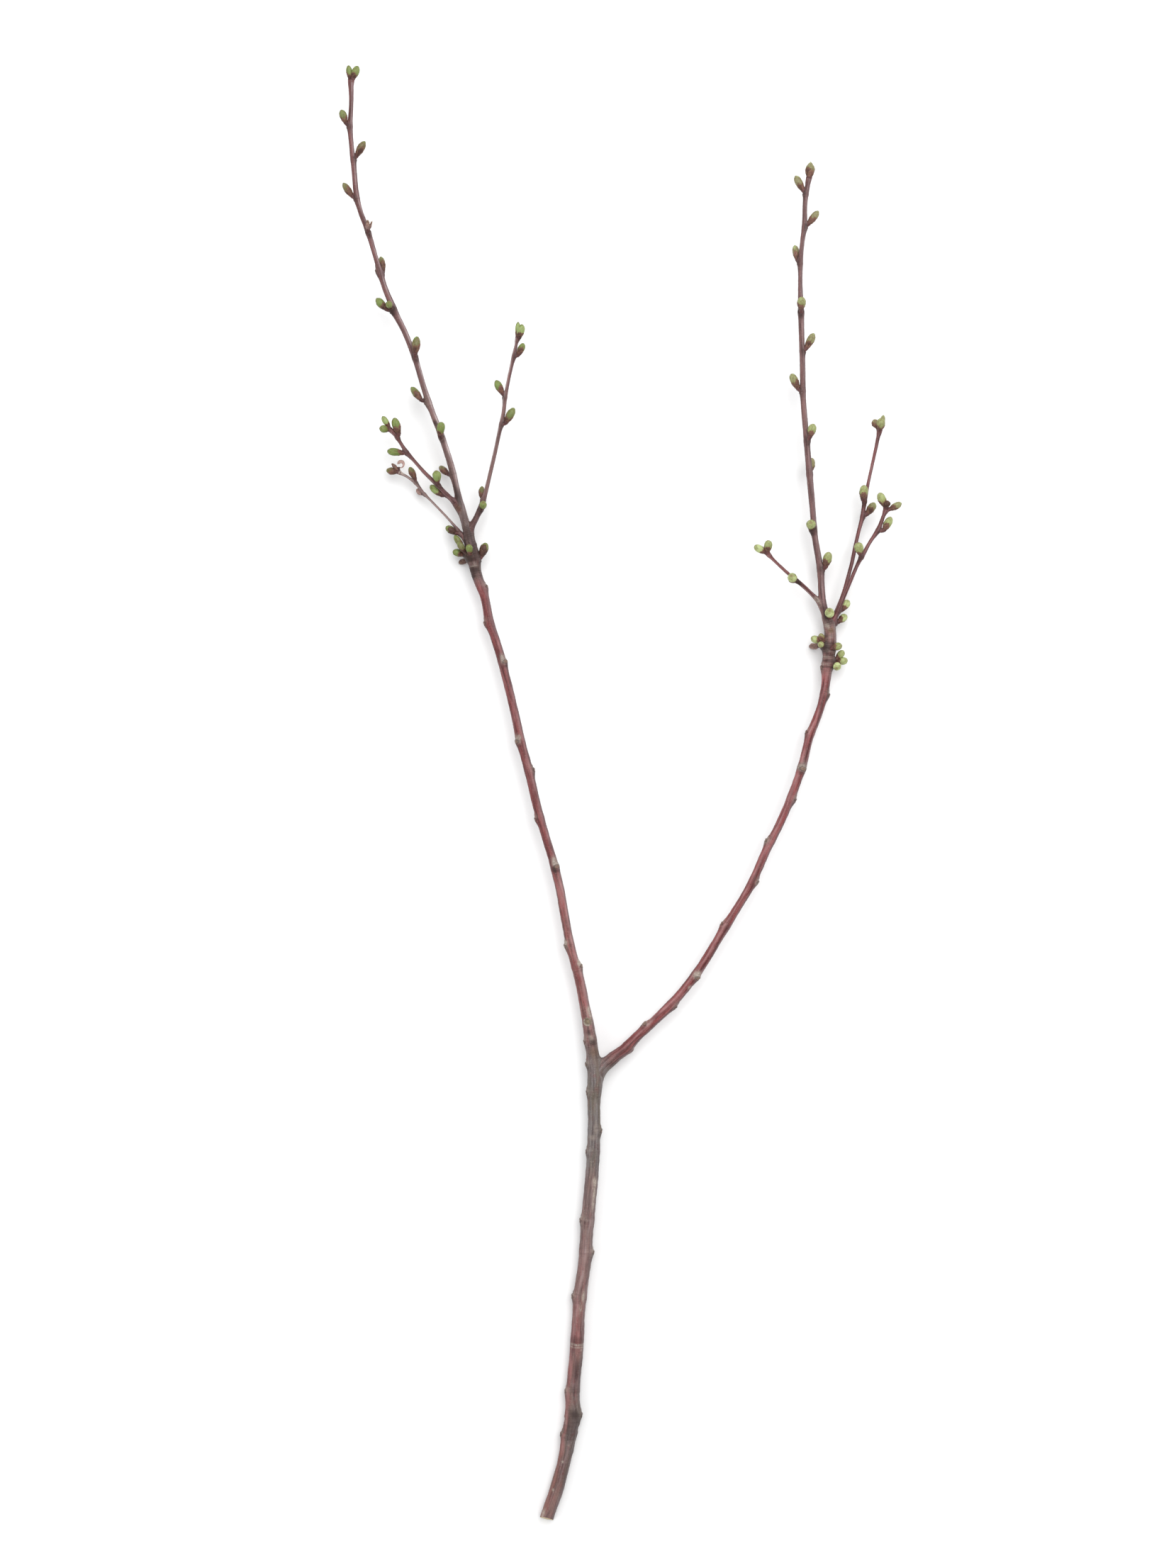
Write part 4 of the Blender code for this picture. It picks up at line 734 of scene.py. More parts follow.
def bark_tube(skin, name, step, sides, cut=None):
    """One limb or twig with its nodes, rings and unevenness."""
    run = Run(AXES[name], step)
    n = len(run.p)
    turn = np.arange(sides) / sides * 2 * math.pi - math.pi / 2
    s, th = run.s[:, None], turn[None, :]
    r = run.r[:, None]
    v = run.v[:, None]
    seed = 11 * (1 + list(AXES).index(name))
    neck = {"leader": (835, 735), "right_limb": (955, 862)}.get(name, (0, 0))
    high = r * 0.035 * wobble(seed, s, th, 0.030) + r * 0.020 * wobble(seed + 1, s, th, 0.009)
    high = high + 0.00004 * wobble(seed + 2, s, th, 0.0032, 5)
    pale = np.zeros((n, sides))
    dark = np.zeros((n, sides))
    grey = np.zeros((n, sides))
    wrinkle = np.full((n, sides), 0.25)
    scar = np.full((n, sides, 4), 9.0)
    scar[..., 2] = 0.0
    nearest_scar = np.full((n, sides), 81.0)
    nodes = [(run.seat(u0, v0), math.radians(angle), 0.9 * proud, 0.0, (u0, v0) in DISCS)
             for axis, u0, v0, angle, proud in SCARS if axis == name]
    for axis, point, out in CUSHIONS:
        if axis == name:
            seat = int(np.linalg.norm(run.p - point, axis=1).argmin())
            nodes.append((seat, math.atan2(float(out @ run.up[seat]), float(out @ run.right[seat])), 0.65, 1.0, False))
    for seat, angle, proud, under_bud, disc in nodes:
        size = float(run.r[seat])
        dx = s - run.s[seat] + 0.0012 * under_bud
        d = (th - angle + math.pi) % (2 * math.pi) - math.pi
        arc = d * size
        if disc:                         # a round scar with a rim and a boss
            far = np.sqrt((1.06 * dx) ** 2 + arc ** 2) / 0.0029
            high = high + 0.00045 * hump(far - 0.92, 0.22) - 0.00015 * hump(far - 0.62, 0.16)
            high = high + 0.00020 * hump(far, 0.45)
            near = far < nearest_scar
            scar[near, :3] = np.stack(np.broadcast_arrays(1.06 * dx / 0.0029, arc / 0.0029, 1.0), -1)[near]
            nearest_scar = np.minimum(far, nearest_scar)
            wrinkle = wrinkle + 0.5 * hump(dx, 0.008)
            continue
        rise = np.where(dx < 0, hump(dx, 0.0044), hump(dx, 0.0013 + 0.0008 * under_bud))
        high = high + proud * MM * rise * hump(arc, 1.0 * size)
        high = high + 0.00035 * proud * (1 - under_bud) * hump(dx - 0.0026, 0.0012) * hump(arc, 0.0014)
        high = high + 0.00008 * hump(dx + 0.0001, 0.0005) * (0.35 + 0.65 * hump(d, 1.9))
        high = high + 0.05 * size * hump(dx, 0.0040)
        tall, broad = (0.0011, min(0.0022, 0.60 * size)) if not under_bud else (0.0008, min(0.0014, 0.7 * size))
        along_face = dx + 0.0006 - 0.0010 * under_bud
        far = np.sqrt((along_face / tall) ** 2 + (arc / broad) ** 2)
        near = far < nearest_scar
        scar[near, :3] = np.stack(np.broadcast_arrays(along_face / tall, arc / broad, 0.4 + 0.3 * (1 - under_bud)), -1)[near]
        nearest_scar = np.minimum(far, nearest_scar)
        high = high - 0.00012 * hump(far, 0.7) + 0.00010 * hump(far - 1.15, 0.22)
        pale = pale + (0.60 - 0.50 * under_bud) * hump(dx - 0.0008, 0.0030) * hump(arc, 1.0 * size)
        on_neck = neck[1] < float(run.v[seat]) < neck[0]
        dark = dark + 0.50 * hump(dx + 0.0036, 0.0014) * hump(arc, 0.8 * size)
        dark += (0.10 + (0.25 if on_neck else 0.70) * under_bud) * hump(dx, 0.0026) * (0.20 + 0.80 * hump(d, 1.2))
        wrinkle = wrinkle + 0.6 * hump(dx, 0.006)
    scar[..., 2] *= nearest_scar < 1.9   # no scar between two scars' areas
    for axis, v_from, v_to, height, spacing in RING_ZONES:
        if axis == name:
            there = soft(v, v_to - 3, v_to + 3) * (1 - soft(v, v_from - 3, v_from + 3))
            phase = s / (spacing * MM) * 2 * math.pi + 1.2 * wobble(seed + 5, s, th, 0.02, 2)
            high = high + there * height * MM * (np.sin(phase) * 0.5 + 0.15 * np.sin(2.3 * phase))
            strong = min(1.0, height / 0.12) ** 2
            wrinkle = wrinkle + 0.8 * strong * there
            # painted shade: the bark is darker in the grooves between the rings
            dark += there * 0.35 * strong * (0.5 - 0.5 * np.sin(phase)) ** 2
    brown = np.zeros((n, sides))
    specks = np.zeros((n, sides))
    shares = {"grey": grey, "dark": dark, "pale": pale, "brown": brown, "specks": specks}
    for mark, axis, vs, values in STRETCHES:
        if axis == name:
            shares[mark] += along(vs, values, v)
    for axis, u0, v0, tall, broad, kind, strength in PATCHES:
        if axis == name:
            shares[kind] += strength * patch_spread(run, th, u0, v0, tall, broad)[1]
    if name == "leader":                 # the low stem stays red along one side
        left = soft(v, 1885, 1925) * soft(-np.cos(th) + 0.15 * wobble(seed + 6, s, th, 0.02, 2), 0.25, 0.75)
        grey *= 1 - 0.75 * left
        dark *= 1 - 0.60 * left
        brown += (0.15 + 0.20 * soft(v, 2030, 2060)) * left
    # painted highlight: a paler line laid along the lit side of each tube, at fixed angles toward the light
    where, turns, strengths = PAINTED_HIGHLIGHT_STREAKS[name]
    middle = np.radians(along(where, turns, v)) + 0.16 * wobble(seed + 7, s, 0.0, 0.06, 0)
    away = (th - middle + math.pi) % (2 * math.pi) - math.pi
    streak = along(where, strengths, v) * (0.75 + 0.35 * wobble(seed + 8, s, 0.0, 0.018, 0)) * hump(away, 0.24)
    streak = np.clip(streak, 0, 1) * (1 - 0.8 * np.clip(shares["dark"], 0, 1))
    # the scar's fourth channel marks the right side of every tube, which the bark material tints with a painted sheen
    scar[..., 3] = soft(np.cos(th) + 0.12 * wobble(seed + 9, s, th, 0.02, 2), 0.30, 0.80)
    shoot = along(*SHOOT[name], v) + np.zeros((n, sides))
    lenticels = along((2146, 1900, 1500, 1250, 900, 800, 700, 100), (0.5, 0.45, 0.6, 0.8, 0.7, 0.5, 0.3, 0.25), v)
    lenticels = lenticels * (1 - 0.75 * soft(v, neck[1] - 6, neck[1] + 6) * (1 - soft(v, neck[0] - 6, neck[0] + 6)))
    lenticels = lenticels + specks
    for axis, u0, v0, tall, broad, height in LUMPS:
        if axis == name:
            seat, spread = patch_spread(run, th, u0, v0, tall, broad)
            high = high + height * MM * spread
            wrinkle = wrinkle + 0.8 * spread
    around = np.cos(th)[..., None] * run.right[:, None] + np.sin(th)[..., None] * run.up[:, None]
    co = run.p[:, None] + np.broadcast_to(r, high.shape)[..., None] * around
    if name in PARENT:                   # where it runs into its parent it has no bumps and lies a little lower
        trunk = COARSE[PARENT[name]]
        close = np.linalg.norm(trunk.p - run.p[0], axis=1) < 0.045
        low = run.s < 0.040
        outside = np.ones((n, sides))
        outside[low] = reach_of(co[low].reshape(-1, 3), trunk.p[close], trunk.r[close])[0].reshape(-1, sides)
        high = high * soft(outside, -0.0003, 0.0010) - 0.00016 * (1 - soft(outside, -0.0008, 0.0))
    co = flow_together(co, (run.p, run.r), neighbours(name)) + high[..., None] * around
    grow = np.stack(np.broadcast_arrays(r * np.cos(th), r * np.sin(th), s + GROW_SHIFT[name]), -1)
    tint = np.stack([shoot, np.clip(grey, 0, 1), np.clip(pale, 0, 1), np.clip(dark, 0, 1)], -1)
    # the mark's fourth channel is the painted highlight line
    mark = np.stack([lenticels, -np.clip(brown, 0, 1), np.clip(wrinkle, 0, 1.2), streak], -1)
    if cut is not None:
        at, face = cut
        for i in range(n):
            ahead = (co[i] - at) @ face
            if ahead.max() <= 0:
                break
            slide = np.maximum(ahead, 0) / max(1e-6, float(-run.way[i] @ face))
            co[i] += run.way[i] * slide[:, None]
    wide = 2 * math.pi * float(run.r.max())
    start = skin.grid(co, grow, tint, mark, wide, float(run.s[-1]), strips=max(1, round(float(run.s[-1]) / 0.10)),
                      scar=np.clip(scar, -9, 9))
    if cut is not None:
        # the cut face: bark, a thin green layer, pale wood and a small pith
        at, face = cut
        middle = run.p[0] + run.way[0] * float((run.p[0] - at) @ face) / float(-run.way[0] @ face)
        rim = co[0]
        ring = [start + k for k in range(sides)]
        for share, lift in ((0.965, 0.00006), (0.90, 0.0), (0.62, 0.00003), (0.34, -0.00004), (0.12, -0.00020)):
            pts = middle + (rim - middle) * share + face * (lift + 0.00005 * np.sin(5 * turn + 9 * share))[:, None]
            flat = grow[0].copy()
            flat[:, :2] *= share
            marks = np.tile([0.0, share, 0.2, 0.0], (sides, 1))
            first = skin.add_points(pts, flat, np.zeros((sides, 4)), marks)
            new = [first + k for k in range(sides)]
            rect = skin.rect(0.010, 0.010)
            for k in range(sides):
                skin.faces.append([ring[(k + 1) % sides], ring[k], new[k], new[(k + 1) % sides]])
                a, b = 2 * math.pi * k / sides, 2 * math.pi * (k + 1) / sides
                wide_ring = share + 0.15
                skin.loop_uv.append(np.array([
                    (0.5 + 0.4 * wide_ring * math.cos(b), 0.5 + 0.4 * wide_ring * math.sin(b)),
                    (0.5 + 0.4 * wide_ring * math.cos(a), 0.5 + 0.4 * wide_ring * math.sin(a)),
                    (0.5 + 0.4 * share * math.cos(a), 0.5 + 0.4 * share * math.sin(a)),
                    (0.5 + 0.4 * share * math.cos(b), 0.5 + 0.4 * share * math.sin(b))]))
                skin.loop_rect.append(np.full(4, rect))
            ring = new
        skin.fan(ring, middle - face * 0.0003, (0, 0, 0), (0, 0, 0, 0), (0, 0.02, 0.2, 0.0), 0.002, flip=True)
    else:
        skin.fan([start + k for k in range(sides)], run.p[0], grow[0, 0], tint[0, 0], mark[0, 0], 0.004, flip=True)
    last = start + (n - 1) * sides
    skin.fan([last + k for k in range(sides)], run.p[-1] + run.way[-1] * 0.3 * run.r[-1], grow[-1, 0],
             tint[-1, 0], mark[-1, 0], 0.004)
    return run


def spur_path(placed):
    """The middle line of the short stalk under a bud, and its thickness."""
    axis, seat, base, tip, radius = placed
    run = COARSE[axis]
    root, thick, way = run.p[seat], run.r[seat], run.way[seat]
    out = unit(tip - base)
    reach = float(np.linalg.norm(base - root))
    p0 = root - way * min(0.0034, 1.0 * thick + 0.0008)
    p1 = p0 + way * 0.30 * reach + unit(base - root) * 0.20 * reach
    p2 = base - out * 0.42 * reach
    p3 = base + out * 0.0005
    t = np.linspace(0, 1, 15)[:, None]
    path = (1 - t) ** 3 * p0 + 3 * (1 - t) ** 2 * t * p1 + 3 * (1 - t) * t * t * p2 + t ** 3 * p3
    stalk = 0.52 * radius
    first = min(0.80 * thick, 2.3 * stalk)
    wide = stalk + (first - stalk) * (1 - t[:, 0]) ** 1.6 + 0.10 * radius * soft(t[:, 0], 0.70, 1.0)
    return path, wide


def spur_tube(skin, placed, number):
    """The short stalk under a bud, which swells out of the wood and again under the bud."""
    axis, seat, base, tip, radius = placed
    path, wide = spur_path(placed)
    run = COARSE[axis]
    way, out = run.way[seat], unit(tip - base)
    t = np.linspace(0, 1, len(path))[:, None]
    sides = 16
    turn = np.arange(sides) / sides * 2 * math.pi
    d = unit(np.gradient(path, axis=0))
    side = unit(np.cross(d, np.cross(way, out) + np.array([0.013, 0.007, 0.011])))
    other = np.cross(d, side)
    s = np.concatenate([[0], np.cumsum(np.linalg.norm(np.diff(path, axis=0), axis=1))])
    around = np.cos(turn)[None, :, None] * side[:, None] + np.sin(turn)[None, :, None] * other[:, None]
    co = path[:, None] + wide[:, None, None] * around
    close = np.linalg.norm(run.p - run.p[seat], axis=1) < 0.015
    outside = reach_of(co.reshape(-1, 3), run.p[close], run.r[close])[0].reshape(len(t), sides)
    co = flow_together(co, (path, wide), [(run.p[close], run.r[close], 0.0014)])
    high = 0.00009 * np.sin(s[:, None] / 0.0009 * 2 * math.pi + 0.8 * np.sin(turn + number)) * soft(t, 0.35, 0.6)
    high = high + 0.05 * wide[:, None] * np.sin(3 * turn + number)
    high = high * soft(outside, -0.0003, 0.0008) - 0.00030 * (1 - soft(outside, -0.0007, -0.0001))
    co = co + high[..., None] * around
    grow = np.stack(np.broadcast_arrays(0.5 * wide[:, None] * np.cos(turn), 0.5 * wide[:, None] * np.sin(turn),
                                        s[:, None] + 20 + 0.37 * number), -1)
    shape = (len(t), sides)
    young = float(along(*SHOOT[axis], run.v[seat]))
    shoot = np.broadcast_to(young * (1 - 0.35 * soft(t, 0.1, 0.6)), shape)
    dark = np.broadcast_to(0.20 + 0.40 * soft(t, 0.2, 0.9), shape)
    pale = 0.22 * hump(t - 0.30, 0.16) * np.ones(shape)
    tint = np.stack([shoot, np.full(shape, 0.25 * (1 - young)), pale, dark], -1)
    mark = np.stack([np.full(shape, 0.2), np.zeros(shape), np.broadcast_to(0.4 + 0.5 * t, shape), np.zeros(shape)], -1)
    start = skin.grid(co, grow, tint, mark, 2 * math.pi * float(wide.max()), float(s[-1]))
    skin.fan([start + k for k in range(sides)], path[0], grow[0, 0], tint[0, 0], mark[0, 0], 0.002, flip=True)
    last = start + (len(t) - 1) * sides
    skin.fan([last + k for k in range(sides)], path[-1], grow[-1, 0], tint[-1, 0], mark[-1, 0], 0.002)


# ---------------------------------------------------------------- buds
def bud_width(t, blunt):
    low = 0.46 + 0.54 * np.sin(np.clip(t / 0.56, 0, 1) * math.pi / 2) ** 1.1
    q = np.clip((t - 0.56) / 0.44, 0, 1)
    return np.where(t < 0.56, low, np.maximum(0, 1 - q ** blunt) ** (0.52 if blunt > 1.6 else 0.85))


def bud_lobe(skin, base, tip, radius, look, seed, faded=0.0, torn=False, wear_and_painted_light=0.0):
    """An ovoid of overlapping scales: brown ones round its foot, green ones to its tip."""
    rng = np.random.default_rng(seed)
    cup, blunt, brown_all = look
    length = float(np.linalg.norm(tip - base))
    if length < 2.2 * radius:
        base = base - unit(tip - base) * (2.2 * radius - length) * 0.5
        length = float(np.linalg.norm(tip - base))
    way = unit(tip - base)
    side = unit(np.cross(way, (0.31, 0.22, 0.92) if abs(way[2]) < 0.9 else (0.9, 0.3, 0.1)))
    other = np.cross(way, side)
    roll = rng.uniform(0, 6.28)
    bend = unit(rng.normal(size=3)) * length * 0.03

    def at(t, turn, wide):
        """Points at share t of the length, at an angle, at a distance from the axis."""
        centre = base + way * (t[..., None] * length) + bend * (t[..., None] ** 2 - t[..., None])
        return centre + (np.cos(turn)[..., None] * side + np.sin(turn)[..., None] * other) * wide[..., None]

    def attributes(t, turn, wide):
        return np.stack([wide * np.cos(turn), wide * np.sin(turn), t * length + 3.1 * seed], -1)

    crumple = 0.22 if brown_all >= 0.9 else 0.03

    def outline(t, turn):
        folds = np.sin(2 * turn + 5 * t + seed) * 0.5 + np.sin(5 * turn - 9 * t + 2 * seed) * 0.5
        if torn:
            return radius * (0.50 + 0.50 * np.sin(np.clip(t / 0.45, 0, 1) * math.pi / 2)) * (1 - 0.20 * folds)
        return radius * bud_width(np.clip(t, 0, 1), blunt) * (1 - crumple * (0.5 + 0.5 * folds))

    # the core that shows between the scales
    core_end = 0.42 if torn else 0.985
    t = np.linspace(-0.03, core_end, 13)[:, None] + np.zeros(16)
    turn = np.arange(16) / 16 * 2 * math.pi + np.zeros((13, 1))
    wide = 0.93 * outline(t, turn)
    tint = np.stack([np.full(t.shape, max(0.15, brown_all)), t, np.zeros(t.shape), np.full(t.shape, 0.5)], -1)
    grow = attributes(t, turn, wide)
    start = skin.grid(at(t, turn, wide), grow, tint, np.stack([0 * t, t, 0 * t, 0 * t], -1), 2 * math.pi * radius, length)
    skin.fan([start + k for k in range(16)], base - way * 0.03 * length, grow[0, 0], tint[0, 0], (0, 0, 0, 0), 0.001, flip=True)
    skin.fan([start + 12 * 16 + k for k in range(16)], base + way * (core_end - 0.12 * torn) * length, grow[-1, 0], tint[-1, 0], (0, 1, 0, 0), 0.001)

    # the scales, from the innermost green ones to the outermost brown ones
    scales = []
    for k, end in enumerate((1.0, 0.97, 0.92, 0.85, 0.76)):
        scales.append((roll + k * 2.4 + 0.2 * rng.normal(), 1.30 - 0.05 * k, 0.10, end - 0.015 * rng.random(),
                       0.004 + 0.013 * k, 0.42, brown_all, 0))
    for k, end in enumerate((1.10, 1.00, 0.94, 0.78, 0.68, 0.58, 0.44, 0.36, 0.28)):
        scales.append((roll + 1.1 + k * 2.4 + 0.25 * rng.normal(), 1.12 - 0.04 * k, -0.02 - 0.004 * k,
                       max(0.12, cup * end + 0.03 * rng.normal()), 0.062 + 0.015 * k, 0.48, 1.0, 1))
    if torn:
        scales = [(roll + 0.85 * k + 0.2 * rng.normal(), 0.66, -0.02, end, 0.01 + 0.022 * (k % 4), 0.30, 1.0, 1)
                  for k, end in enumerate((0.92, 0.55, 0.80, 1.0, 0.62, 0.74, 0.48, 0.86))]
    for phi, half, low, high, lift, point, brown, outer in scales:
        high = min(high, 1.0)
        q = np.linspace(-1, 1, 9)
        a = np.linspace(0, 1, 8)[:, None]
        top = low + (high - low) * (1 - point * np.abs(q) ** 2.3)
        t = low + (top - low) * a
        turn = phi + half * q * (1 - 0.10 * a)
        t = np.minimum(t + (0.10 if torn else 0.035) * outer * np.sin(9 * q + 7 * phi) * a ** 3, 1.0)
        wide = outline(t, turn) * (1 + lift) + radius * (0.030 * outer * a ** 4 + 0.012 * (1 - q * q) * (1 - a))
        wide = wide * (1 - 0.025 * np.abs(q) ** 3)
        edge = np.clip(np.maximum(np.abs(q) ** 6 * (0.3 + 0.7 * a), a ** 9 + 0 * q), 0, 1)
        shade = rng.uniform(0.0, 1.0)
        tint = np.stack([np.full(t.shape, brown), a + 0 * q, edge, np.full(t.shape, shade)], -1)
        # the mark's fourth channel holds olive wear, and below zero a painted highlight
        mark = np.stack([np.full(t.shape, float(outer)), np.broadcast_to(t, t.shape), tint[..., 1] * 0 + faded, tint[..., 0] * 0 + wear_and_painted_light], -1)
        grow = attributes(t, turn, wide)
        outside = skin.grid(at(t, turn, wide), grow, tint, mark, 2.4 * half * radius, (high - low) * length, wrap=False)
        under = np.maximum(wide - 0.055 * radius, 0.3 * wide)
        inside = skin.grid(at(t - 0.004 * a, turn, under), grow, tint, mark, 0.8 * half * radius,
                           (high - low) * length * 0.4, wrap=False, flip=True)
        border = ([(0, k) for k in range(8)] + [(k, 8) for k in range(7)] + [(7, 8 - k) for k in range(8)]
                  + [(7 - k, 0) for k in range(7)])
        rect = skin.rect(0.004, 0.0004)
        m = len(border)
        for k in range(m):
            (i0, j0), (i1, j1) = border[k], border[(k + 1) % m]
            skin.faces.append([outside + i1 * 9 + j1, outside + i0 * 9 + j0, inside + i0 * 9 + j0, inside + i1 * 9 + j1])
            skin.loop_uv.append(np.array([((k + 1) / m, 1), (k / m, 1), (k / m, 0), ((k + 1) / m, 0)]))
            skin.loop_rect.append(np.full(4, rect))


def dried_curl(skin, base, tip, radius, seed):
    """A dried, curled scale: a pale strip bent into an open loop on a short stalk."""
    way = unit(tip - base)
    across = unit(np.cross(way, (0, 0, 1)))
    length = float(np.linalg.norm(tip - base))
    middle = base + way * (0.36 * length) + across * 0.0007
    turn = np.linspace(-1.95, 3.25, 36)
    loop = 1.16 * radius * (1 - 0.13 * np.maximum(turn - 1.0, 0))
    path = middle + (across * np.cos(turn)[:, None] + way * np.sin(turn)[:, None]) * loop[:, None]
    path[:, 2] += 0.0007 * np.sin(1.3 * turn + 0.4)
    stem = base + (path[0] - base) * np.linspace(0, 0.85, 5)[:, None]
    path = np.vstack([stem, path])
    n, sides = len(path), 14
    d = unit(np.gradient(path, axis=0))
    flat = unit(np.cross(d, (0, 0, 1)))
    share = np.linspace(0, 1, n)
    lean = np.radians(35 + 40 * np.sin(5.0 * share + 0.6))[:, None]
    high = unit(np.cos(lean) * flat + np.sin(lean) * np.cross(flat, d))
    thin = np.cross(d, high)
    tall = (0.00055 + 0.00065 * soft(share, 0.08, 0.30) * (1 - 0.6 * soft(share, 0.85, 1.0)))[:, None]
    a = np.arange(sides) / sides * 2 * math.pi
    cup = (0.00030 * np.sin(a) ** 2)[None, :] + 0.00008 * np.sin(9 * share)[:, None]
    co = path[:, None] + thin[:, None] * (0.00020 * np.cos(a)[None, :] + cup)[..., None] + high[:, None] * (tall * np.sin(a))[..., None]
    grow = np.stack(np.broadcast_arrays(0.001 * np.cos(a)[None], tall * np.sin(a)[None], share[:, None] * 0.012 + seed), -1)
    rim = np.abs(np.sin(a))[None, :] ** 4 * np.ones((n, 1))
    tint = np.stack([np.ones((n, sides)), np.full((n, sides), 0.5), rim, np.full((n, sides), 0.9)], -1)
    faded = np.clip(0.95 - 0.55 * rim, 0, 1) * soft(share, 0.02, 0.20)[:, None]
    mark = np.stack([np.ones((n, sides)), np.full((n, sides), 0.5), faded, np.zeros((n, sides))], -1)
    start = skin.grid(co, grow, tint, mark, 0.004, 0.014)
    skin.fan([start + k for k in range(sides)], path[0], grow[0, 0], tint[0, 0], mark[0, 0], 0.0005, flip=True)
    last = start + (n - 1) * sides
    skin.fan([last + k for k in range(sides)], path[-1], grow[-1, 0], tint[-1, 0], mark[-1, 0], 0.0005)


# ---------------------------------------------------------------- materials
def start_material(name):
    made = bpy.data.materials.new(name)
    made.use_nodes = True
    tree = made.node_tree
    return made, tree, tree.nodes["Principled BSDF"]


def node(tree, kind, inputs=None, **settings):
    made = tree.nodes.new(kind)
    for key, value in settings.items():
        setattr(made, key, value)
    for key, value in (inputs or {}).items():
        socket = made.inputs[key]
        if isinstance(value, bpy.types.NodeSocket):
            tree.links.new(value, socket)
        else:
            socket.default_value = value
    return made


def mix(tree, share, a, b, blend="MIX"):
    made = node(tree, "ShaderNodeMix", data_type="RGBA", blend_type=blend)
    for index, value in ((0, share), (6, a), (7, b)):
        if isinstance(value, bpy.types.NodeSocket):
            tree.links.new(value, made.inputs[index])
        else:
            made.inputs[index].default_value = value if index == 0 else (*value, 1.0)
    return made.outputs[2]


def sums(tree, operation, a, b, clamp=False):
    made = node(tree, "ShaderNodeMath", {0: a, 1: b}, operation=operation, use_clamp=clamp)
    return made.outputs[0]


def remap(tree, value, lo, hi, to_lo=0.0, to_hi=1.0):
    made = node(tree, "ShaderNodeMapRange", {"Value": value, "From Min": lo, "From Max": hi,
                                             "To Min": to_lo, "To Max": to_hi}, interpolation_type="SMOOTHSTEP")
    return made.outputs["Result"]


def channels(tree, name):
    attribute = node(tree, "ShaderNodeAttribute", attribute_name=name)
    split = node(tree, "ShaderNodeSeparateColor", {"Color": attribute.outputs["Color"]})
    return [*split.outputs, attribute.outputs["Alpha"]]


def stretched(tree, vector, scale, detail=3.0, roughness=0.6, size=1.0):
    """Noise on the growth coordinates, stretched by a scale for each axis."""
    scaled = node(tree, "ShaderNodeVectorMath", {0: vector, 1: scale}, operation="MULTIPLY")
    made = node(tree, "ShaderNodeTexNoise", {"Vector": scaled.outputs[0], "Scale": size, "Detail": detail,
                                             "Roughness": roughness})
    return made.outputs["Fac"]


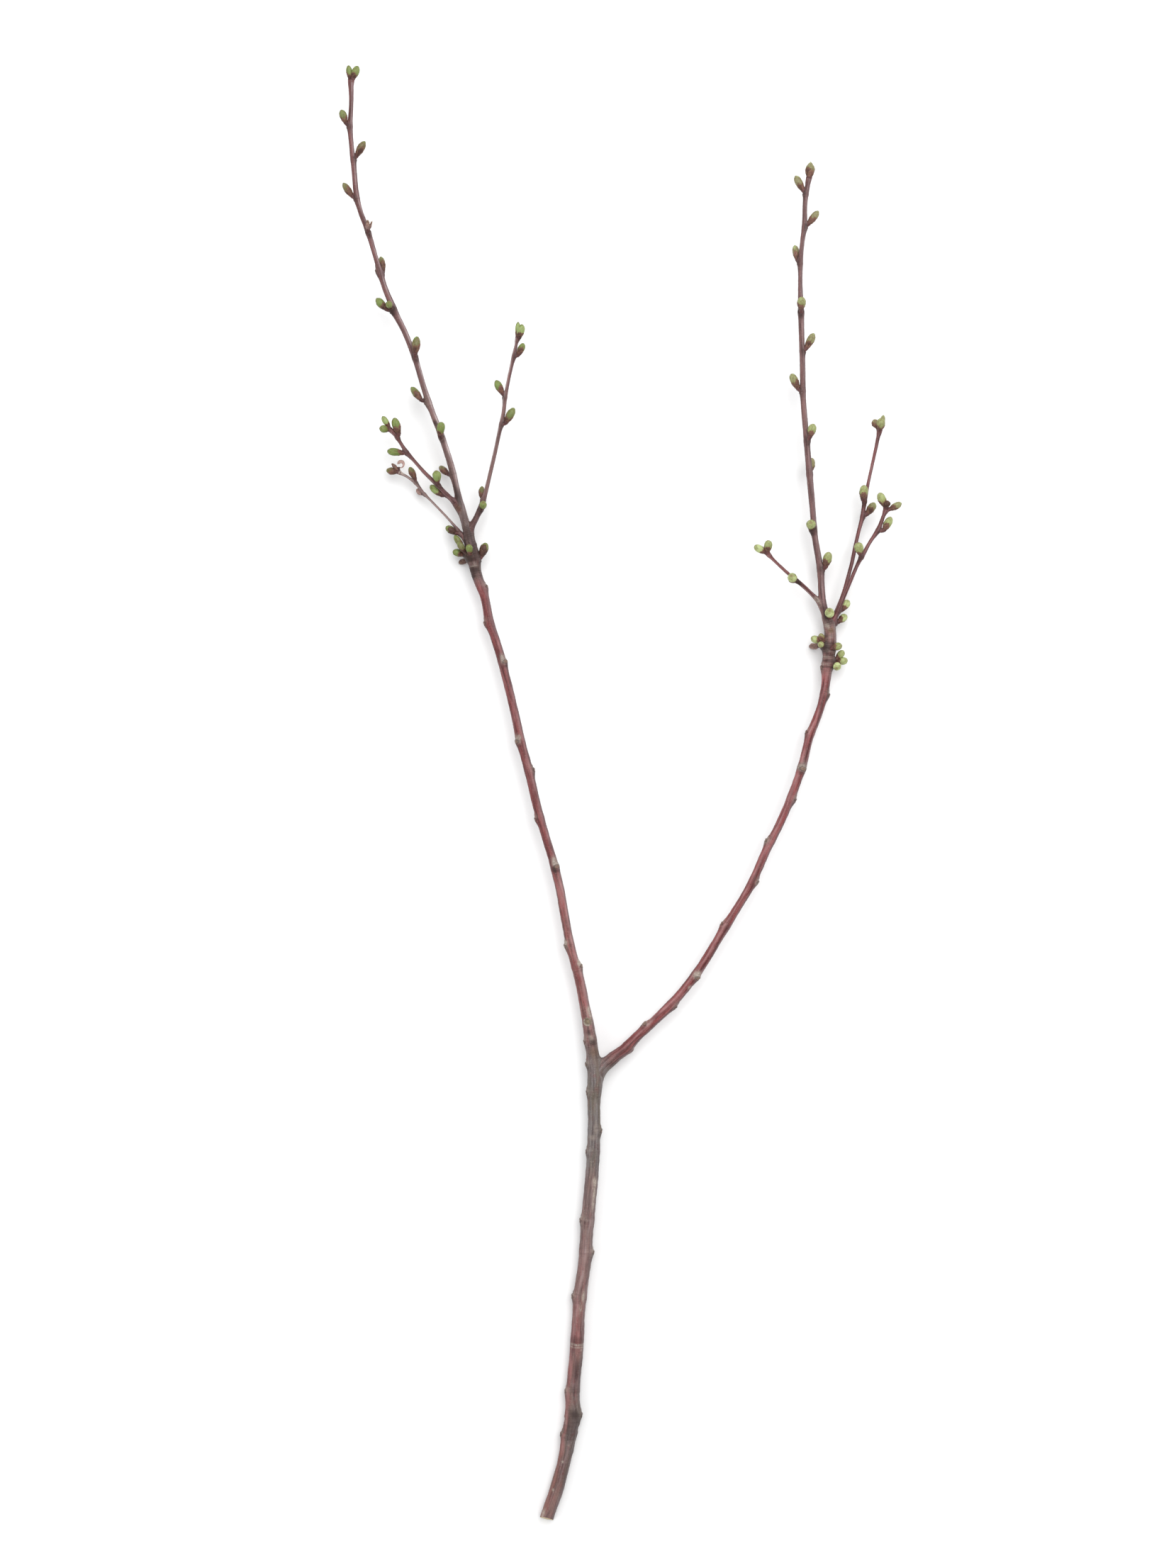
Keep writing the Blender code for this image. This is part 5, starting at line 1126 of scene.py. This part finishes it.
def bark_material():
    made, tree, shader = start_material("cherry_bark")
    grow = node(tree, "ShaderNodeAttribute", attribute_name="grow").outputs["Vector"]
    shoot, grey, pale, dark = channels(tree, "tint")
    lenticel, cut, wrinkle, painted_highlight = channels(tree, "mark")
    scar_x, scar_y, scar_kind, side = channels(tree, "scar")

    streak = stretched(tree, grow, (900, 900, 45), 4.0, 0.65)
    broad = stretched(tree, grow, (260, 260, 38), 3.0, 0.55)
    blotch = stretched(tree, grow, (420, 420, 190), 4.0, 0.6)
    bands = stretched(tree, grow, (130, 130, 1500), 3.0, 0.7)
    grain = stretched(tree, grow, (1500, 1500, 1500), 4.0, 0.7)
    flecks = stretched(tree, grow, (1500, 1500, 1700), 2.5, 0.6)

    limb = mix(tree, remap(tree, streak, 0.34, 0.64), (0.074, 0.010, 0.011), (0.268, 0.046, 0.047))
    limb = mix(tree, remap(tree, broad, 0.47, 0.66, 0.0, 0.58), limb, (0.430, 0.166, 0.170))
    limb = mix(tree, remap(tree, grain, 0.52, 0.68, 0.0, 0.60), limb, (0.074, 0.018, 0.019))
    limb = mix(tree, remap(tree, flecks, 0.58, 0.72, 0.0, 0.35), limb, (0.430, 0.215, 0.205))
    twig = mix(tree, remap(tree, streak, 0.34, 0.64), (0.070, 0.036, 0.035), (0.180, 0.104, 0.098))
    twig = mix(tree, remap(tree, blotch, 0.54, 0.72, 0.0, 0.6), twig, (0.145, 0.055, 0.047))
    twig = mix(tree, remap(tree, grain, 0.52, 0.70, 0.0, 0.55), twig, (0.060, 0.032, 0.030))
    twig = mix(tree, remap(tree, flecks, 0.60, 0.74, 0.0, 0.35), twig, (0.380, 0.300, 0.280))
    colour = mix(tree, shoot, limb, twig)
    # painted sheen: the right side of every tube is tinted a paler mauve-grey, the way light falls on that side
    painted_sheen_mauve = mix(tree, remap(tree, streak, 0.34, 0.64), (0.086, 0.044, 0.048), (0.225, 0.138, 0.146))
    colour = mix(tree, sums(tree, "MULTIPLY", side, 0.80), colour, painted_sheen_mauve)
    # painted highlight: a paler pink-grey line on the lit side of each tube, a little less rough there
    painted_highlight_share = sums(tree, "MULTIPLY", painted_highlight, remap(tree, blotch, 0.28, 0.52, 0.55, 1.0), True)
    colour = mix(tree, painted_highlight_share, colour, mix(tree, shoot, (0.465, 0.232, 0.236), (0.560, 0.480, 0.480)))
    grey_share = sums(tree, "MULTIPLY", grey, remap(tree, blotch, 0.28, 0.52, 0.52, 1.0), True)
    film = mix(tree, remap(tree, streak, 0.36, 0.62), (0.098, 0.078, 0.079), (0.255, 0.230, 0.223))
    film = mix(tree, remap(tree, grain, 0.50, 0.68, 0.0, 0.50), film, (0.085, 0.072, 0.062))
    film = mix(tree, remap(tree, broad, 0.42, 0.66, 0.0, 0.55), film, (0.170, 0.140, 0.095))
    colour = mix(tree, grey_share, colour, film)
    rust = mix(tree, remap(tree, grain, 0.35, 0.62), (0.240, 0.140, 0.072), (0.100, 0.056, 0.030))
    rust_share = sums(tree, "MULTIPLY", sums(tree, "MULTIPLY", cut, -1.0), remap(tree, blotch, 0.30, 0.50, 0.45, 1.0), True)
    colour = mix(tree, rust_share, colour, rust)
    pale_share = sums(tree, "MULTIPLY", pale, remap(tree, blotch, 0.34, 0.58, 0.3, 1.0), True)
    colour = mix(tree, pale_share, colour, mix(tree, remap(tree, grain, 0.35, 0.65), (0.300, 0.235, 0.195), (0.500, 0.430, 0.370)))
    colour = mix(tree, sums(tree, "MULTIPLY", dark, 0.90, True), colour, (0.026, 0.012, 0.010))
    band_share = sums(tree, "MULTIPLY", wrinkle, remap(tree, bands, 0.52, 0.74, 0.0, 0.60), True)
    colour = mix(tree, band_share, colour, (0.036, 0.016, 0.013))

    # lenticels: short pale lines across the bark, a few large and many small
    def lenticel_layer(scale, lo, size):
        cells = node(tree, "ShaderNodeVectorMath", {0: grow, 1: scale}, operation="MULTIPLY")
        bent = node(tree, "ShaderNodeVectorMath", {0: cells.outputs[0], 1: node(
            tree, "ShaderNodeTexNoise", {"Vector": cells.outputs[0], "Scale": 2.2}).outputs["Color"]}, operation="ADD")
        spots = node(tree, "ShaderNodeTexVoronoi", {"Vector": bent.outputs[0], "Scale": 1.0, "Randomness": 1.0})
        pick = node(tree, "ShaderNodeSeparateColor", {"Color": spots.outputs["Color"]})
        chosen = remap(tree, pick.outputs[0], lo, lo + 0.05)
        small = sums(tree, "MULTIPLY", remap(tree, pick.outputs[1], 0.0, 1.0, 0.4, 1.0), size)
        edge = node(tree, "ShaderNodeMapRange", {"Value": spots.outputs["Distance"], "From Min": small,
                                                 "From Max": sums(tree, "MULTIPLY", small, 0.45)},
                    interpolation_type="SMOOTHSTEP").outputs["Result"]
        return sums(tree, "MULTIPLY", sums(tree, "MULTIPLY", edge, chosen), lenticel)

    lenticel = sums(tree, "MULTIPLY", lenticel, sums(tree, "SUBTRACT", 1.0, sums(tree, "MULTIPLY", dark, 0.75)))
    spot = lenticel_layer((380, 380, 800), 0.88, 0.26)
    fine = lenticel_layer((1000, 1000, 1500), 0.72, 0.34)
    colour = mix(tree, sums(tree, "MULTIPLY", spot, 0.55), colour, (0.380, 0.230, 0.180))
    colour = mix(tree, sums(tree, "MULTIPLY", fine, remap(tree, broad, 0.35, 0.65, 0.10, 0.50)), colour, (0.400, 0.240, 0.200))
    speck = sums(tree, "MULTIPLY", remap(tree, flecks, 0.60, 0.72), sums(tree, "ADD", sums(tree, "MULTIPLY", grey, 0.5), 0.16))
    speck = sums(tree, "MULTIPLY", speck, sums(tree, "SUBTRACT", 1.0, sums(tree, "MULTIPLY", dark, 0.85)), True)
    colour = mix(tree, speck, colour, (0.430, 0.370, 0.310))

    # leaf scars: a tan face with a dark rim and three small dots, or a rimmed disc
    flat = node(tree, "ShaderNodeCombineXYZ", {0: scar_x, 1: scar_y})
    far = node(tree, "ShaderNodeVectorMath", {0: flat.outputs[0]}, operation="LENGTH").outputs["Value"]
    far = sums(tree, "ADD", far, remap(tree, stretched(tree, grow, (520, 520, 480), 3.0, 0.6), 0.30, 0.70, -0.14, 0.14))
    is_disc = remap(tree, scar_kind, 0.80, 0.90)
    is_scar = sums(tree, "MULTIPLY", remap(tree, scar_kind, 0.30, 0.42), sums(tree, "SUBTRACT", 1.0, is_disc))
    inner = sums(tree, "MULTIPLY", remap(tree, far, 1.05, 0.80), is_scar)
    rim = sums(tree, "MULTIPLY", sums(tree, "MULTIPLY", remap(tree, far, 0.80, 1.05), remap(tree, far, 1.65, 1.20)), is_scar)
    colour = mix(tree, sums(tree, "MULTIPLY", inner, scar_kind), colour, (0.190, 0.105, 0.070))
    colour = mix(tree, sums(tree, "MULTIPLY", rim, 0.60), colour, (0.030, 0.014, 0.011))
    for turn_at in (-0.5, 0.0, 0.5):
        dot = node(tree, "ShaderNodeVectorMath", {0: flat.outputs[0], 1: (0.15 - 0.5 * abs(turn_at), turn_at, 0)}, operation="DISTANCE")
        near_dot = sums(tree, "MULTIPLY", remap(tree, dot.outputs["Value"], 0.22, 0.10), is_scar)
        colour = mix(tree, sums(tree, "MULTIPLY", near_dot, 0.75), colour, (0.030, 0.014, 0.010))
    disc = mix(tree, remap(tree, far, 0.20, 0.66), (0.220, 0.185, 0.110), (0.130, 0.100, 0.066))
    disc = mix(tree, remap(tree, far, 0.62, 0.90), disc, mix(tree, remap(tree, blotch, 0.40, 0.60), (0.150, 0.120, 0.085), (0.440, 0.400, 0.320)))
    disc = mix(tree, remap(tree, grain, 0.45, 0.65, 0.0, 0.55), disc, (0.120, 0.085, 0.055))
    on_disc = sums(tree, "MULTIPLY", sums(tree, "MULTIPLY", remap(tree, far, 1.20, 0.92), is_disc), 0.85)
    colour = mix(tree, on_disc, colour, disc)

    # the cut face, where mark's second channel is the distance from the pith
    is_cut = remap(tree, cut, 0.005, 0.012)
    uneven = stretched(tree, grow, (330, 330, 0), 2.0, 0.5)
    ring = sums(tree, "ADD", sums(tree, "MULTIPLY", cut, 21.0), sums(tree, "MULTIPLY", uneven, 3.2))
    ring = node(tree, "ShaderNodeMath", {0: ring}, operation="SINE").outputs[0]
    wood = mix(tree, remap(tree, ring, 0.55, 1.0, 0.0, 0.8), (0.640, 0.520, 0.340), (0.500, 0.375, 0.220))
    wood = mix(tree, remap(tree, grain, 0.45, 0.75, 0.0, 0.5), wood, (0.430, 0.320, 0.190))
    wood = mix(tree, remap(tree, cut, 0.86, 0.95), wood, (0.340, 0.330, 0.120))
    wood = mix(tree, remap(tree, cut, 0.16, 0.08), wood, (0.300, 0.190, 0.110))
    colour = mix(tree, is_cut, colour, wood)
    tree.links.new(colour, shader.inputs["Base Color"])

    rough = remap(tree, streak, 0.3, 0.7, 0.30, 0.46)
    rough = sums(tree, "ADD", rough, sums(tree, "MULTIPLY", grey_share, 0.22))
    rough = sums(tree, "SUBTRACT", rough, sums(tree, "MULTIPLY", painted_highlight_share, 0.06))
    rough = sums(tree, "ADD", rough, sums(tree, "MULTIPLY", is_cut, 0.30), True)
    tree.links.new(rough, shader.inputs["Roughness"])
    shader.inputs["Specular IOR Level"].default_value = 0.28

    height = sums(tree, "MULTIPLY", sums(tree, "MULTIPLY", bands, wrinkle), 1.6)
    height = sums(tree, "ADD", height, sums(tree, "MULTIPLY", streak, 0.5))
    height = sums(tree, "ADD", height, sums(tree, "MULTIPLY", grain, sums(tree, "ADD", sums(tree, "MULTIPLY", grey, 1.0), 0.25)))
    height = sums(tree, "ADD", height, sums(tree, "MULTIPLY", sums(tree, "ADD", spot, sums(tree, "MULTIPLY", fine, 0.5)), 0.9))
    bump = node(tree, "ShaderNodeBump", {"Strength": 0.85, "Distance": 0.00018, "Height": height})
    tree.links.new(bump.outputs[0], shader.inputs["Normal"])
    return made


def bud_material(name, fresh, tip, dull, painted_light_green, husk_dark, husk_light):
    made, tree, shader = start_material(name)
    grow = node(tree, "ShaderNodeAttribute", attribute_name="grow").outputs["Vector"]
    brown, up, edge, shade = channels(tree, "tint")
    outer, height_share, faded, wear_and_painted_light = channels(tree, "mark")
    deep = sums(tree, "MULTIPLY", faded, -1.0, True)
    faded = sums(tree, "MULTIPLY", faded, 1.0, True)
    veins = stretched(tree, grow, (2600, 2600, 260), 3.0, 0.6)
    mottle = stretched(tree, grow, (900, 900, 700), 3.0, 0.6)

    green = mix(tree, remap(tree, height_share, 0.35, 0.90), fresh, tip)
    green = mix(tree, remap(tree, veins, 0.40, 0.70, 0.0, 0.60), green, dull)
    green = mix(tree, remap(tree, mottle, 0.50, 0.70, 0.0, 0.50), green, (0.150, 0.090, 0.028))
    green = mix(tree, sums(tree, "MULTIPLY", shade, 0.30), green, dull)
    # below zero the mark is a painted highlight that makes the green brighter; above zero it is olive and brown wear
    green = mix(tree, sums(tree, "MULTIPLY", wear_and_painted_light, -1.0, True), green, painted_light_green)
    wear_and_painted_light = sums(tree, "MULTIPLY", wear_and_painted_light, 1.0, True)
    green = mix(tree, wear_and_painted_light, green, mix(tree, remap(tree, mottle, 0.40, 0.62), (0.215, 0.165, 0.105), (0.135, 0.070, 0.050)))
    green = mix(tree, sums(tree, "MULTIPLY", edge, 0.42), green, (0.200, 0.125, 0.045))
    green = mix(tree, remap(tree, height_share, 0.93, 1.0, 0.0, 0.65), green, (0.200, 0.110, 0.050))
    husk = mix(tree, shade, husk_dark, husk_light)
    husk = mix(tree, remap(tree, veins, 0.38, 0.66, 0.0, 0.6), husk, (0.028, 0.010, 0.008))
    husk = mix(tree, sums(tree, "MULTIPLY", remap(tree, up, 0.60, 1.0), 0.45), husk, (0.190, 0.095, 0.045))
    husk = mix(tree, sums(tree, "MULTIPLY", edge, 0.40), husk, (0.250, 0.150, 0.090))
    husk = mix(tree, deep, husk, (0.026, 0.009, 0.007))
    husk = mix(tree, sums(tree, "MULTIPLY", faded, remap(tree, mottle, 0.36, 0.60, 0.55, 1.0)), husk, (0.640, 0.430, 0.390))
    colour = mix(tree, brown, green, husk)
    tree.links.new(colour, shader.inputs["Base Color"])
    rough = sums(tree, "ADD", remap(tree, veins, 0.3, 0.7, 0.40, 0.52), sums(tree, "MULTIPLY", brown, 0.06), True)
    tree.links.new(rough, shader.inputs["Roughness"])
    shader.inputs["Specular IOR Level"].default_value = 0.34
    shader.inputs["Subsurface Weight"].default_value = 0.08
    shader.inputs["Subsurface Radius"].default_value = (0.0009, 0.0012, 0.0004)
    shader.inputs["Subsurface Scale"].default_value = 1.0
    bump = node(tree, "ShaderNodeBump", {"Strength": 0.6, "Distance": 0.00010, "Height": veins})
    tree.links.new(bump.outputs[0], shader.inputs["Normal"])
    return made


def floor_material():
    made, tree, shader = start_material("pale_floor")
    where = node(tree, "ShaderNodeTexCoord").outputs["Object"]
    noise = node(tree, "ShaderNodeTexNoise", {"Vector": where, "Scale": 3.0, "Detail": 2.0}).outputs["Fac"]
    tree.links.new(mix(tree, noise, (0.900, 0.900, 0.900), (0.915, 0.915, 0.915)), shader.inputs["Base Color"])
    shader.inputs["Roughness"].default_value = 0.9
    shader.inputs["Specular IOR Level"].default_value = 0.1
    return made


# ---------------------------------------------------------------- build the looks
bark = bark_material()
green_left = bud_material("bud_green_left", (0.165, 0.215, 0.052), (0.235, 0.330, 0.095), (0.085, 0.118, 0.026), (0.360, 0.460, 0.175),
                          (0.062, 0.025, 0.018), (0.185, 0.080, 0.058))
green_right = bud_material("bud_green_right", (0.330, 0.370, 0.140), (0.430, 0.510, 0.220), (0.195, 0.215, 0.075), (0.600, 0.700, 0.330),
                           (0.095, 0.041, 0.030), (0.250, 0.120, 0.090))

placed = {name: [clear_of_wood(row) for row in rows] for name, rows in BUDS.items()}
SPURS = [(one[0], *spur_path(one)) for rows in placed.values() for one in rows]
CUSHIONS = [(one[0], COARSE[one[0]].p[one[1]], unit(one[2] - COARSE[one[0]].p[one[1]]))
            for rows in placed.values() for one in rows if one[1] < len(COARSE[one[0]].p) - 4]

cut_at = place(770.5, 2142, 4.9)
cut_face = unit((-0.22, -0.90, 0.38))
main = Skin()
bark_tube(main, "leader", 0.0006, 36, (cut_at, cut_face))
right = Skin()
bark_tube(right, "right_limb", 0.0006, 32)
twigs = Skin()
for name in ("outer_twig", "upper_twig", "thin_twig", "inner_twig", "long_twig", "short_twig"):
    bark_tube(twigs, name, 0.0006, 18)
number = 0
for rows in placed.values():
    for one in rows:
        number += 1
        spur_tube(twigs, one, number)

shown = [("stem_and_left_limb", main), ("right_limb_bark", right), ("twigs_and_spurs", twigs)]
for name, skin in shown:
    made = skin.make(name, bark)
    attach(made, "root")
    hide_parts("branch_wood")

number = 0
for name, rows in placed.items():
    skin = Skin()
    for lobe, one in enumerate(rows):
        number += 1
        look = LOOKS.get(f"{name}#{lobe}", LOOKS.get(name, PLAIN_LOOK))
        if (name, lobe) == ("terminal_bud_left_thin_twig", 2):
            dried_curl(skin, *one[2:], 100 + number)
        else:
            bud_lobe(skin, *one[2:], look, 100 + number, FADED.get(f"{name}#{lobe}", FADED.get(name, 0.0)),
                     name.startswith("withered"), WEAR_AND_PAINTED_LIGHT.get(f"{name}#{lobe}", WEAR_AND_PAINTED_LIGHT.get(name, 0.0)))
    on_left = "left" in name
    made = skin.make(name + "_scales", green_left if on_left else green_right)
    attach(made, "root")
    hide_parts(name)

# ---------------------------------------------------------------- floor, light, camera
mesh = bpy.data.meshes.new("floor")
mesh.from_pydata([(-6, -6, 0), (6, -6, 0), (6, 6, 0), (-6, 6, 0)], [], [(0, 1, 2, 3)])
mesh.materials.append(floor_material())
floor = bpy.data.objects.new("floor", mesh)
bpy.context.scene.collection.objects.link(floor)


def lamp(name, at, aim, size, power, colour=(1, 1, 1)):
    data = bpy.data.lights.new(name, "AREA")
    data.shape = "RECTANGLE"
    data.size, data.size_y = size
    data.energy = power
    data.color = colour
    made = bpy.data.objects.new(name, data)
    made.location = at
    made.rotation_euler = (Vector(aim) - Vector(at)).to_track_quat("-Z", "Y").to_euler()
    bpy.context.scene.collection.objects.link(made)


lamp("key", (0.45, 1.0, 2.3), (0, 0, 0), (2.0, 2.0), 52)
lamp("fill", (-1.6, -0.6, 1.6), (0, 0, 0), (1.6, 1.6), 8, (0.94, 0.97, 1.0))

world = bpy.data.worlds.new("studio")
world.use_nodes = True
world.node_tree.nodes["Background"].inputs["Color"].default_value = (1, 1, 1, 1)
world.node_tree.nodes["Background"].inputs["Strength"].default_value = 0.66
bpy.context.scene.world = world
bpy.context.scene.view_settings.view_transform = "Standard"

eye = bpy.data.cameras.new("camera")
eye.sensor_fit = "VERTICAL"
eye.sensor_height = 36.0
eye.lens = 36.0 * SIGHT_HEIGHT / (PLAN_TALL * UNIT)
eye.clip_start, eye.clip_end = 0.01, 50
camera = bpy.data.objects.new("camera", eye)
camera.location = (-ORIGIN_X, -ORIGIN_Y, SIGHT_HEIGHT)
bpy.context.scene.collection.objects.link(camera)
bpy.context.scene.camera = camera
